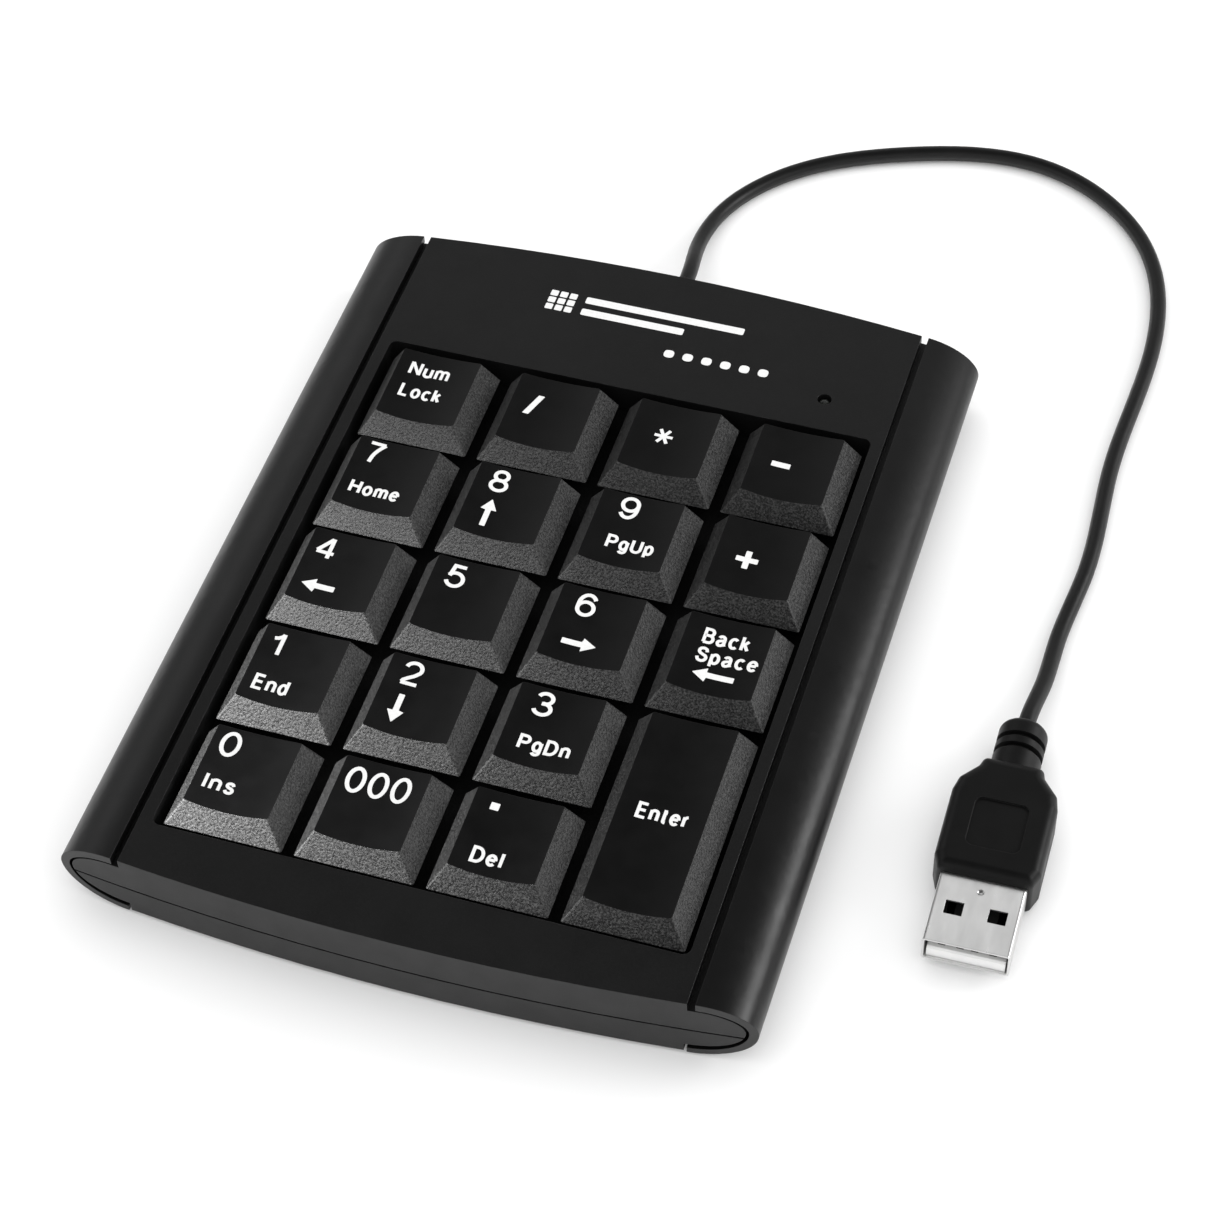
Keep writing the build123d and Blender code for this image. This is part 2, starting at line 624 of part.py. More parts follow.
def dome_profile():
    """Half section of one rubber dome: a thin cone with a solid pusher under a flat top."""
    base = DOME_BASE_Z + DOME_SHEET_THICKNESS
    with BuildPart() as dome:
        with BuildSketch(Plane.XZ):
            with BuildLine():
                Polyline(
                    (DOME_FOOT_RADIUS, base - 0.1),
                    (DOME_NECK_RADIUS, DOME_NECK_Z),
                    (DOME_NECK_RADIUS, DOME_TOP_Z),
                    (0, DOME_TOP_Z),
                    (0, DOME_NECK_Z - 1.4),
                    (1.1, DOME_NECK_Z - 1.4),
                    (1.1, DOME_NECK_Z - 0.4),
                    (DOME_NECK_RADIUS - DOME_SKIN, DOME_NECK_Z - 0.4),
                    (DOME_FOOT_RADIUS - DOME_SKIN, base - 0.1),
                    close=True,
                )
            make_face()
        revolve(axis=Axis.Z)
    return dome.part


DOME = dome_profile()

with BuildPart() as dome_sheet:
    add(stack_sheet(DOME_BASE_Z, DOME_SHEET_THICKNESS, False, DOME_FOOT_RADIUS - DOME_SKIN))
    with Locations(KEY_CENTRES):
        add(DOME)
save(dome_sheet.part, "dome_sheet")

# ---------------------------------------------------------------- electronics

BOARD_TOP_Z = BOARD_BOTTOM_Z + BOARD_THICKNESS
BOARD_MIDDLE = ((BOARD_LEFT_X + BOARD_RIGHT_X) / 2, (BOARD_FRONT_Y + BOARD_REAR_Y) / 2)

with BuildPart() as controller_board:
    with BuildSketch(Plane.XY.offset(BOARD_BOTTOM_Z)):
        with Locations(BOARD_MIDDLE):
            RectangleRounded(BOARD_RIGHT_X - BOARD_LEFT_X, BOARD_REAR_Y - BOARD_FRONT_Y, 0.8)
        with Locations(BOARD_SCREWS):
            Circle(SCREW_RADIUS, mode=Mode.SUBTRACT)
    extrude(amount=BOARD_THICKNESS)
save(controller_board.part, "controller_board")

with BuildPart() as controller_chip:
    with Locations((6, 50.5, BOARD_TOP_Z - 4.6)):
        Sphere(6.0)
    split(bisect_by=Plane.XY.offset(BOARD_TOP_Z), keep=Keep.TOP)
save(controller_chip.part, "controller_chip")

with BuildPart() as crystal:
    with BuildSketch(Plane((-11, 50.5, BOARD_TOP_Z))):
        SlotOverall(10.2, 3.8)
    extrude(amount=3.4)
    chamfer(crystal.faces().sort_by(Axis.Z)[-1].edges(), 0.3)
save(crystal.part, "crystal")

with BuildPart() as capacitors:
    with BuildSketch(Plane.XY.offset(BOARD_TOP_Z)):
        with Locations((-20.5, 49.5), (17.5, 48.5), (20.5, 54.0)):
            Circle(1.9)
    extrude(amount=4.4)
    chamfer(capacitors.faces().filter_by(Plane.XY).group_by(Axis.Z)[-1].edges(), 0.3)
save(capacitors.part, "capacitors")

with BuildPart() as tail_pressure_strip:
    with BuildSketch(Plane((0, 46.5, PLATE_BOTTOM_Z))):
        RectangleRounded(2 * TAIL_HALF_X + 2, 3.2, 0.6)
    extrude(amount=PLATE_THICKNESS)
save(tail_pressure_strip.part, "tail_pressure_strip")

with BuildPart() as indicator_led:
    with BuildSketch(Plane((LED_X, LED_Y, LED_FLANGE_Z))):
        Circle(LED_FLANGE_RADIUS)
    extrude(amount=1.0)
    with BuildSketch(Plane((LED_X, LED_Y, LED_FLANGE_Z))):
        Circle(LED_LENS_RADIUS)
    extrude(amount=CASE_TOP - 0.5 - LED_FLANGE_Z)
    fillet(indicator_led.edges().sort_by(Axis.Z)[-1], 0.7)
save(indicator_led.part, "indicator_led")

with BuildPart() as led_leads:
    with BuildSketch(Plane.XY.offset(BOARD_TOP_Z)):
        with Locations((LED_X - 0.64, LED_Y), (LED_X + 0.64, LED_Y)):
            Rectangle(0.45, 0.45)
    extrude(amount=LED_FLANGE_Z - BOARD_TOP_Z)
save(led_leads.part, "led_leads")

# ---------------------------------------------------------------- fasteners and feet


def screws(spots, head_z, tip_z, head_height, radius, head_radius):
    """Pan-head screws pointing up or down, on the given spots, each with a cross recess."""
    towards_tip = 1 if tip_z > head_z else -1
    with BuildPart() as group:
        with BuildSketch(Plane.XY.offset(head_z)):
            with Locations(spots):
                Circle(radius)
        extrude(amount=tip_z - head_z)
        ends = group.faces().filter_by(Plane.XY).sort_by(Axis.Z, reverse=towards_tip > 0)
        chamfer(ends[: len(spots)].edges(), 0.3)
        with BuildSketch(Plane.XY.offset(head_z)):
            with Locations(spots):
                Circle(head_radius)
        extrude(amount=-towards_tip * head_height)
        with BuildSketch(Plane.XY.offset(head_z - towards_tip * head_height)):
            with Locations(spots):
                Rectangle(2.0, 0.5)
                Rectangle(0.5, 2.0)
        extrude(amount=towards_tip * head_height * 0.6, mode=Mode.SUBTRACT)
    return group.part


with BuildPart() as case_screws:
    add(screws(CASE_SCREWS, SCREW_SEAT_Z, CASE_SCREW_TIP_Z, 1.3, SCREW_RADIUS, SCREW_HEAD_RADIUS))
save(case_screws.part, "case_screws")

with BuildPart() as frame_screws:
    add(screws(FRAME_SCREWS, FRAME_BOTTOM_Z, FRAME_SCREW_TIP_Z, 0.8, SCREW_RADIUS - 0.2, 1.6))
save(frame_screws.part, "frame_screws")

with BuildPart() as board_screws:
    add(screws(BOARD_SCREWS, BOARD_TOP_Z, BOARD_SCREW_TIP_Z, 1.1, SCREW_RADIUS - 0.2, 1.6))
save(board_screws.part, "board_screws")

with BuildPart() as rubber_feet:
    with BuildSketch():
        with Locations(FEET):
            Circle(FOOT_RADIUS)
    extrude(amount=CASE_BOTTOM + FOOT_RECESS - 0.02)
    fillet(rubber_feet.faces().group_by(Axis.Z)[0].edges(), 0.4)
save(rubber_feet.part, "rubber_feet")

# ---------------------------------------------------------------- cable and plug

GROMMET_FIT = 0.02
with BuildPart() as cable_grommet:
    with BuildSketch(Plane.YZ):
        with BuildLine():
            Polyline(
                (62.9, PARTING_Z + CABLE_RADIUS + GROMMET_FIT),
                (62.9, PARTING_Z + 2.5),
                (REAR_Y - WALL - 0.1, PARTING_Z + 2.5),
                (REAR_Y - WALL - 0.1, PARTING_Z + GROMMET_NECK_RADIUS),
                (REAR_Y + 0.05, PARTING_Z + GROMMET_NECK_RADIUS),
                (REAR_Y + 0.05, PARTING_Z + 2.5),
                (REAR_Y + 0.9, PARTING_Z + 2.5),
                (REAR_Y + 1.3, PARTING_Z + 2.2),
                (REAR_Y + 4.5, PARTING_Z + 1.7),
                (REAR_Y + 4.5, PARTING_Z + CABLE_RADIUS + GROMMET_FIT),
                close=True,
            )
        make_face()
    revolve(axis=Axis((0, 0, PARTING_Z), (0, 1, 0)))
save(cable_grommet.part, "cable_grommet")

CABLE_LIE_Z = CABLE_RADIUS + 0.1

# The cable leaves the case, drops to the desk, turns round to the right and comes back to the plug.
PLUG_PLACE = Location((PLUG_X, 0, 0), (0, 0, PLUG_TURN))
CABLE_END_Y = BOOT_REAR_Y - 5
CABLE_ENTRY = (PLUG_PLACE * Pos(0, BOOT_REAR_Y + 0.8, PLUG_Z)).position
CABLE_END = (PLUG_PLACE * Pos(0, CABLE_END_Y, PLUG_Z)).position
CABLE_COURSE = [
    (0, REAR_Y + 5, PARTING_Z),
    (-1.3, 82.0, 3.3),
    (0.0, 93.5, 1.5),
    (7.9, 104.9, CABLE_LIE_Z),
    (25.1, 114.7, CABLE_LIE_Z),
    (48.0, 118.0, CABLE_LIE_Z),
    (67.0, 105.0, CABLE_LIE_Z),
    (73.6, 80.0, CABLE_LIE_Z),
    (72.5, 54.0, CABLE_LIE_Z),
    (73.2, 33.0, CABLE_LIE_Z),
    (72.0, 19.0, 1.5),
    (71.9, 9.0, 2.6),
    CABLE_ENTRY,
]

with BuildPart() as usb_cable:
    with BuildLine() as cable_line:
        Line((0, CABLE_START_Y, PARTING_Z), CABLE_COURSE[0])
        Spline(*CABLE_COURSE, tangents=[(0, 1, 0), CABLE_END - CABLE_ENTRY], tangent_scalars=[1.0, 1.0])
        Line(CABLE_ENTRY, CABLE_END)
    with BuildSketch(Plane((0, CABLE_START_Y, PARTING_Z), x_dir=(1, 0, 0), z_dir=(0, 1, 0))):
        Circle(CABLE_RADIUS)
    sweep()
save(usb_cable.part, "usb_cable")


CONDUCTOR_RADIUS = 0.26


def conductor(offset):
    """One wire from the cable's cut end to its pad on the board."""
    pad_x = 1.3 * offset
    with BuildPart() as wire:
        with BuildLine() as course:
            Spline(
                (0.3 * offset, CABLE_START_Y - 0.05, PARTING_Z),
                (pad_x, CABLE_START_Y - 3.2, PARTING_Z + 0.9),
                (pad_x, CABLE_START_Y - 4.6, BOARD_TOP_Z + 0.05),
                tangents=[(0, -1, 0), (0, 0, -1)],
            )
        with BuildSketch(Plane(course.edges()[0] @ 0, z_dir=(0, -1, 0))):
            Circle(CONDUCTOR_RADIUS)
        sweep()
    return wire.part


with BuildPart() as cable_conductors:
    for offset in (-3, -1, 1, 3):
        add(conductor(offset))
save(cable_conductors.part, "cable_conductors")

GROOVE_WIDTH = 0.9
GROOVE_DEPTH = 0.9
RING_GROOVES = (BODY_REAR_Y + 3.1, BODY_REAR_Y + 5.1)
PANEL_WIDTH = 7.6
PANEL_LENGTH = 8.4
PANEL_Y = -21.1
PANEL_DEPTH = 0.3
PLUG_FIT = 0.02


def across_plug(y):
    """Plane square to the plug, which is drawn along the Y axis, facing its open end."""
    return Plane((0, y, PLUG_Z), x_dir=(1, 0, 0), z_dir=(0, -1, 0))


with BuildPart() as plug_overmold:
    # body: shouldered outline with rounded edges
    with BuildSketch():
        with BuildLine():
            Polyline(
                (0, BODY_REAR_Y),
                (BOOT_RADIUS + 0.7, BODY_REAR_Y),
                (BOOT_RADIUS + 1.2, BODY_REAR_Y - 1.6),
                (BODY_WIDTH / 2 - 0.5, BODY_REAR_Y - 4.2),
                (BODY_WIDTH / 2, BODY_REAR_Y - 6.4),
                (BODY_WIDTH / 2, BODY_FRONT_Y + 2.4),
                (BODY_WIDTH / 2 - 0.9, BODY_FRONT_Y),
                (0, BODY_FRONT_Y),
                close=True,
            )
        make_face()
        mirror(about=Plane.YZ)
    extrude(amount=BODY_THICKNESS)
    fillet(plug_overmold.edges().filter_by(Axis.Z), 0.8)
    fillet(plug_overmold.faces().filter_by(Plane.XY).edges(), 1.5)
    # recessed panel on the top face
    with BuildSketch(Plane((0, PANEL_Y, BODY_THICKNESS))):
        RectangleRounded(PANEL_WIDTH, PANEL_LENGTH, 1.2)
    extrude(amount=-PANEL_DEPTH, mode=Mode.SUBTRACT)
    # boot with two ring grooves
    with BuildSketch(across_plug(BOOT_REAR_Y)):
        Circle(BOOT_RADIUS)
    extrude(amount=BOOT_REAR_Y - BODY_REAR_Y + 2)
    fillet(plug_overmold.faces().sort_by(Axis.Y)[-1].edges(), 1.2)
    for groove_y in RING_GROOVES:
        with BuildSketch(across_plug(groove_y + GROOVE_WIDTH / 2)):
            Circle(BOOT_RADIUS + 1)
            Circle(BOOT_RADIUS - GROOVE_DEPTH, mode=Mode.SUBTRACT)
        extrude(amount=GROOVE_WIDTH, mode=Mode.SUBTRACT)
    # bore for the cable and pocket for the shell
    with BuildSketch(across_plug(BOOT_REAR_Y)):
        Circle(CABLE_RADIUS + PLUG_FIT)
    extrude(amount=BOOT_REAR_Y - CABLE_END_Y, mode=Mode.SUBTRACT)
    with BuildSketch(across_plug(SHELL_REAR_Y)):
        RectangleRounded(SHELL_WIDTH + 2 * PLUG_FIT, SHELL_HEIGHT + 2 * PLUG_FIT, 0.5)
    extrude(amount=SHELL_REAR_Y - BODY_FRONT_Y + 1, mode=Mode.SUBTRACT)
save(PLUG_PLACE * plug_overmold.part, "plug_overmold")

WINDOW_X = 3.0
WINDOW_Y = -35.0
WINDOW_WIDTH = 2.5
WINDOW_LENGTH = 2.2
DIMPLE_Y = -31.6

with BuildPart() as plug_shell:
    with BuildSketch(across_plug(SHELL_REAR_Y)):
        RectangleRounded(SHELL_WIDTH, SHELL_HEIGHT, 0.5)
        RectangleRounded(
            SHELL_WIDTH - 2 * SHELL_SHEET, SHELL_HEIGHT - 2 * SHELL_SHEET, 0.25, mode=Mode.SUBTRACT
        )
    extrude(amount=SHELL_REAR_Y - SHELL_FRONT_Y)
    # windows through the top and bottom sheet, and a punched dimple
    with BuildSketch():
        with Locations((-WINDOW_X, WINDOW_Y), (WINDOW_X, WINDOW_Y)):
            Rectangle(WINDOW_WIDTH, WINDOW_LENGTH)
    extrude(amount=BODY_THICKNESS, mode=Mode.SUBTRACT)
    with Locations((0, DIMPLE_Y, PLUG_Z + SHELL_HEIGHT / 2 + 0.5)):
        Sphere(0.7, mode=Mode.SUBTRACT)
save(PLUG_PLACE * plug_shell.part, "plug_shell")

TONGUE_BOTTOM_Z = PLUG_Z - SHELL_HEIGHT / 2 + SHELL_SHEET + 0.02
TONGUE_THICKNESS = 1.88

with BuildPart() as plug_insulator:
    with BuildSketch(Plane((0, (SHELL_FRONT_Y + SHELL_REAR_Y) / 2, TONGUE_BOTTOM_Z))):
        Rectangle(SHELL_WIDTH - 2 * SHELL_SHEET - 0.6, SHELL_REAR_Y - SHELL_FRONT_Y - 0.8)
    extrude(amount=TONGUE_THICKNESS)
    chamfer(plug_insulator.faces().sort_by(Axis.Y)[0].edges().sort_by(Axis.Z)[-1], 0.3)
save(PLUG_PLACE * plug_insulator.part, "plug_insulator")

with BuildPart() as plug_contacts:
    with BuildSketch(Plane((0, SHELL_FRONT_Y + 4.9, TONGUE_BOTTOM_Z + TONGUE_THICKNESS + 0.01))):
        with Locations((-3.5, 0), (-1.0, 0), (1.0, 0), (3.5, 0)):
            Rectangle(1.0, 7.4)
    extrude(amount=0.2)
save(PLUG_PLACE * plug_contacts.part, "plug_contacts")
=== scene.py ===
import json
import math

import bmesh
import bpy
from mathutils import Matrix, Vector
from mathutils.bvhtree import BVHTree


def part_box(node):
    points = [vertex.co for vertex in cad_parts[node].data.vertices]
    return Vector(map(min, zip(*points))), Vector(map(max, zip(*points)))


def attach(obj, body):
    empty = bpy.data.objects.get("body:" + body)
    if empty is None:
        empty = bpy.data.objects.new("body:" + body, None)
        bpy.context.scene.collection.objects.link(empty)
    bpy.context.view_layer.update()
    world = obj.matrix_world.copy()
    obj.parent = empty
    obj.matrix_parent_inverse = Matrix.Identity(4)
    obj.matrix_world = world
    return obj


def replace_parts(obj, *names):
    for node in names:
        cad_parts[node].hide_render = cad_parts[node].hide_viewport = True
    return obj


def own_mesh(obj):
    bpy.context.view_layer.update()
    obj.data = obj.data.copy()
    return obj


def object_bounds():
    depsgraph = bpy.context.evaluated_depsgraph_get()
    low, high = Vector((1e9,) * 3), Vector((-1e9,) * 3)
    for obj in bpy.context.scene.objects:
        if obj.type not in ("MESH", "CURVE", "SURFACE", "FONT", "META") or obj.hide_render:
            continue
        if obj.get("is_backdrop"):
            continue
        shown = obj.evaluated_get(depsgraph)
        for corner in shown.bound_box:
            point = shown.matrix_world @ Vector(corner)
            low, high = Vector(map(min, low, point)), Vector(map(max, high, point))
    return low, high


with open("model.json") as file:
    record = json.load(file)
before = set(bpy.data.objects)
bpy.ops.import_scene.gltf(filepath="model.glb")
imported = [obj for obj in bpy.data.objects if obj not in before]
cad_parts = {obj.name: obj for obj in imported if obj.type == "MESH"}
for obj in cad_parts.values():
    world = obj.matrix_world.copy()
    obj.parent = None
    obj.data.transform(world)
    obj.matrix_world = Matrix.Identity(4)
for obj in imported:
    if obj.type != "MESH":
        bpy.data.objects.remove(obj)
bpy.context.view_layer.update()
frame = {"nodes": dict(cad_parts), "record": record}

MM = 0.001
TINY = 1e-6
NODES = frame["nodes"]
SLOT_OF = {part["node"]: part["material_slot"] for part in frame["record"]["subparts"]}


# ------------------------------------------------------------------ node shorthand

# most of a noise texture's values lie between these
NOISE_LOW, NOISE_HIGH = 0.3, 0.7


class Shader:
    """Builds one material's node tree. Lengths are in millimetres of the object."""

    def __init__(self, name):
        self.material = bpy.data.materials.new(name)
        self.material.use_nodes = True
        self.tree = self.material.node_tree
        self.bsdf = self.tree.nodes["Principled BSDF"]
        self.place = self.new("ShaderNodeTexCoord").outputs["Object"]
        geometry = self.new("ShaderNodeNewGeometry")
        self.true_normal = geometry.outputs["True Normal"]
        self.normal = geometry.outputs["Normal"]

    def new(self, kind, **settings):
        node = self.tree.nodes.new(kind)
        for key, value in settings.items():
            setattr(node, key, value)
        return node

    def put(self, socket, value):
        if isinstance(value, bpy.types.NodeSocket):
            self.tree.links.new(value, socket)
        else:
            socket.default_value = value

    def set(self, **values):
        """Principled inputs by name, with _ for a space."""
        for key, value in values.items():
            self.put(self.bsdf.inputs[key.replace("_", " ")], value)

    def maths(self, operation, a, b):
        node = self.new("ShaderNodeMath", operation=operation)
        self.put(node.inputs[0], a)
        self.put(node.inputs[1], b)
        return node.outputs[0]

    def remap(self, value, low, high, to_low, to_high):
        node = self.new("ShaderNodeMapRange")
        for socket, v in zip(node.inputs, (value, low, high, to_low, to_high)):
            self.put(socket, v)
        return node.outputs[0]

    def vary(self, noise, low, high):
        """Spreads a noise over a range of numbers."""
        return self.remap(noise, NOISE_LOW, NOISE_HIGH, low, high)

    def tint(self, noise, a, b):
        """Mixes two colours by a noise."""
        return self.mix(self.vary(noise, 0.0, 1.0), a, b)

    def wear(self, edges, size, most):
        """How far each stretch of edge is rubbed pale, up to the most given."""
        patches = self.remap(self.noise(size, 3.0), 0.35, 0.7, 0.1, most)
        return self.maths("MULTIPLY", edges, patches)

    def stretched(self, x, y, z):
        """Object coordinates scaled per axis, for a grain that runs one way."""
        node = self.new("ShaderNodeMapping")
        self.put(node.inputs["Vector"], self.place)
        node.inputs["Scale"].default_value = (x, y, z)
        return node.outputs[0]

    def noise(self, size, detail=2.0, rough=0.5, place=None):
        node = self.new("ShaderNodeTexNoise")
        self.put(node.inputs["Vector"], place or self.place)
        node.inputs["Scale"].default_value = 1.0 / (size * MM)
        node.inputs["Detail"].default_value = detail
        node.inputs["Roughness"].default_value = rough
        return node.outputs[0]

    def cells(self, size):
        node = self.new("ShaderNodeTexVoronoi")
        self.put(node.inputs["Vector"], self.place)
        node.inputs["Scale"].default_value = 1.0 / (size * MM)
        return node.outputs["Distance"]

    def mix(self, factor, a, b):
        node = self.new("ShaderNodeMix", data_type="RGBA")
        self.put(node.inputs["Factor"], factor)
        self.put(node.inputs[6], (*a, 1.0) if isinstance(a, tuple) else a)
        self.put(node.inputs[7], (*b, 1.0) if isinstance(b, tuple) else b)
        return node.outputs[2]

    def blend(self, factor, a, b):
        node = self.new("ShaderNodeMix", data_type="FLOAT")
        self.put(node.inputs[0], factor)
        self.put(node.inputs[2], a)
        self.put(node.inputs[3], b)
        return node.outputs[0]

    def bump(self, height, depth, normal=None):
        node = self.new("ShaderNodeBump")
        self.put(node.inputs["Height"], height)
        node.inputs["Distance"].default_value = depth * MM
        if normal:
            self.put(node.inputs["Normal"], normal)
        return node.outputs[0]

    def rounded(self, radius):
        """Normal with every edge softened by the radius, and a mask of those edges."""
        bevel = self.new("ShaderNodeBevel", samples=4)
        bevel.inputs["Radius"].default_value = radius * MM
        dot = self.new("ShaderNodeVectorMath", operation="DOT_PRODUCT")
        self.put(dot.inputs[0], bevel.outputs[0])
        self.put(dot.inputs[1], self.normal)
        return bevel.outputs[0], self.remap(dot.outputs["Value"], 0.999, 0.90, 0.0, 1.0)

    def axis(self, name, vector):
        split = self.new("ShaderNodeSeparateXYZ")
        self.put(split.inputs[0], vector)
        return split.outputs[name]


def grey(value, tint=(1.0, 1.0, 1.0)):
    return tuple(value * t for t in tint)


def black(value):
    """The moulded parts' black, which is a touch violet."""
    return grey(value, (1.0, 0.99, 1.01))


def warm(value):
    """Off-white with a touch of yellow."""
    return grey(value, (1.0, 1.0, 0.98))


# ------------------------------------------------------------------ materials


def key_plastic():
    """Satin tops over coarse, spark-eroded skirts; the skirts' grey speckle is partly their grain
    and partly painted light.
    """
    s = Shader("key_plastic")
    soft, edges = s.rounded(0.1)
    on_top = s.remap(s.axis("Z", s.true_normal), 0.86, 0.93, 0.0, 1.0)
    spark = s.noise(0.30, 3.0, 0.7)
    # the skirts' paler colour is partly the eroded grain's own look and partly painted light
    # scattered off it from the front
    skirt_grain_and_painted_light = s.mix(s.remap(spark, 0.44, 0.64, 0.0, 1.0), black(0.006), grey(0.055, (1.0, 1.0, 0.99)))
    top = s.tint(s.noise(7.0), black(0.0016), black(0.0026))
    skirt_rough = s.remap(spark, 0.35, 0.7, 0.42, 0.6)
    rough = s.blend(on_top, skirt_rough, s.vary(s.noise(3.0, 3.0), 0.30, 0.37))
    skirt_relief = s.maths("ADD", spark, s.maths("MULTIPLY", s.cells(0.45), -0.4))
    relief = s.blend(on_top, skirt_relief, s.maths("MULTIPLY", s.noise(0.12), 0.05))
    s.set(
        Base_Color=s.mix(s.wear(edges, 1.2, 0.4), s.mix(on_top, skirt_grain_and_painted_light, top), black(0.05)),
        Roughness=s.blend(edges, rough, 0.33),
        Normal=s.bump(relief, 0.11, soft),
        IOR=1.5,
        Specular_IOR_Level=s.blend(on_top, 0.5, 0.34),
    )
    return s.material


def case_plastic():
    """Moulded black cover with a fine satin grain."""
    s = Shader("case_plastic")
    soft, edges = s.rounded(0.12)
    grain = s.noise(0.22, 3.0, 0.6)
    base = s.tint(s.noise(18.0), black(0.0022), black(0.0034))
    flecked = s.mix(s.remap(grain, 0.45, 0.75, 0.0, 0.45), base, black(0.010))
    s.set(
        Base_Color=s.mix(s.wear(edges, 2.2, 0.55), flecked, black(0.09)),
        Roughness=s.blend(edges, s.vary(s.noise(5.0, 4.0), 0.40, 0.50), 0.34),
        Normal=s.bump(grain, 0.012, soft),
        IOR=1.5,
    )
    return s.material


def rail_plastic():
    """Smoother satin of the side rails, with faint handling marks."""
    s = Shader("rail_plastic")
    soft, edges = s.rounded(0.12)
    base = s.tint(s.noise(14.0), black(0.0030), black(0.0045))
    marks = s.remap(s.noise(1.4, 5.0, 0.7, s.stretched(1.0, 0.12, 1.0)), 0.6, 0.8, 0.0, 0.06)
    s.set(
        Base_Color=s.mix(s.wear(edges, 2.0, 0.5), base, black(0.08)),
        Roughness=s.maths("ADD", s.vary(s.noise(6.0, 3.0), 0.30, 0.37), marks),
        Normal=s.bump(s.noise(0.3), 0.003, soft),
        IOR=1.5,
    )
    return s.material


def paint_inner_shade(s, colour, inside):
    """Darkens a colour over a range of Y in mm with painted shade, for what lies deep inside the
    plug.
    """
    if not inside:
        return colour
    depth = s.remap(s.axis("Y", s.place), inside[0] * MM, inside[1] * MM, 0.0, 1.0)
    return s.mix(depth, colour, grey(0.02))


def plain_plastic(name, dark, light, rough, grain, depth, variation=6.0, ior=1.5, inside=None):
    """Moulded plastic: two-tone variation, moulded grain, uneven roughness and paler edges; given
    an inside range, painted shade deep in the plug.
    """
    s = Shader(name)
    soft, edges = s.rounded(0.15)
    base = s.tint(s.noise(variation, 3.0), dark, light)
    paler = tuple(min(1.0, 1.6 * c + 0.03) for c in light)
    colour = s.mix(s.maths("MULTIPLY", edges, 0.35), base, paler)
    s.set(
        Base_Color=paint_inner_shade(s, colour, inside),
        Roughness=s.vary(s.noise(variation * 0.6, 3.0), rough - 0.05, rough + 0.06),
        Normal=s.bump(s.noise(grain, 3.0), depth, soft),
        IOR=ior,
    )
    return s.material


def metal(name, colour, rough, run, size, depth=0.003, contrast=0.88, inside=None):
    """Plated or drawn metal: streaks along the run, faint stains and brighter edges; given an
    inside range, painted shade deep in the plug.
    """
    s = Shader(name)
    soft, edges = s.rounded(0.1)
    streak = s.noise(size, 4.0, 0.6, s.stretched(*run))
    lines = s.remap(streak, 0.35, 0.65, 0.0, 0.5)
    stain = s.remap(s.noise(4.0, 3.0), 0.35, 0.75, 0.0, 0.35)
    lined = s.mix(lines, colour, tuple(c * contrast for c in colour))
    tone = s.mix(stain, lined, tuple(c * contrast**2.5 for c in colour))
    rubbed = tuple(min(1.0, c * 1.12) for c in colour)
    s.set(
        Base_Color=paint_inner_shade(s, s.mix(s.maths("MULTIPLY", edges, 0.6), tone, rubbed), inside),
        Metallic=1.0,
        Roughness=s.vary(streak, rough - 0.03, rough + 0.05),
        Normal=s.bump(streak, depth, soft),
    )
    return s.material


def print_white():
    """Pad-printed ink: near white, a little thin and uneven."""
    s = Shader("print_white")
    ink = s.noise(0.5, 4.0, 0.6)
    thin = s.remap(ink, 0.3, 0.75, 0.0, 1.0)
    s.set(
        Base_Color=s.mix(thin, grey(0.92), grey(0.80, (1.0, 1.0, 0.985))),
        Roughness=s.vary(ink, 0.42, 0.56),
        Normal=s.bump(ink, 0.004),
        IOR=1.45,
    )
    return s.material


def lamp_lens():
    """Small water-clear lamp body, unlit, over a dark recess; its near-black colour is painted
    shade of that recess.
    """
    s = Shader("lamp_lens")
    soft, edges = s.rounded(0.1)
    haze = s.noise(0.8, 3.0)
    # painted shade: the clear lens is coloured near black for the dark recess seen through it
    colour = s.tint(haze, (0.012, 0.013, 0.012), (0.035, 0.037, 0.034))
    s.set(
        Base_Color=s.mix(s.maths("MULTIPLY", edges, 0.4), colour, (0.12, 0.125, 0.12)),
        Roughness=s.vary(haze, 0.10, 0.22),
        Normal=s.bump(haze, 0.004, soft),
        Coat_Weight=0.6,
        Coat_Roughness=0.08,
    )
    return s.material


def board_laminate():
    """Green board with pale track shapes under the mask."""
    s = Shader("board_laminate")
    soft, edges = s.rounded(0.1)
    bricks = s.new("ShaderNodeTexBrick")
    s.put(bricks.inputs["Vector"], s.place)
    bricks.inputs["Scale"].default_value = 1.0 / (6.0 * MM)
    bricks.inputs["Mortar Size"].default_value = 0.06
    for name, level in (("Color1", 0.0), ("Color2", 0.2), ("Mortar", 1.0)):
        bricks.inputs[name].default_value = (*grey(level), 1.0)
    tracks = bricks.outputs["Color"]
    weave = s.noise(0.4)
    ground = s.tint(weave, (0.012, 0.10, 0.035), (0.02, 0.14, 0.05))
    colour = s.mix(s.maths("MULTIPLY", tracks, 0.6), ground, (0.06, 0.26, 0.11))
    s.set(
        Base_Color=s.mix(edges, colour, (0.30, 0.28, 0.15)),
        Roughness=s.vary(weave, 0.28, 0.4),
        Normal=s.bump(tracks, 0.03, soft),
    )
    return s.material


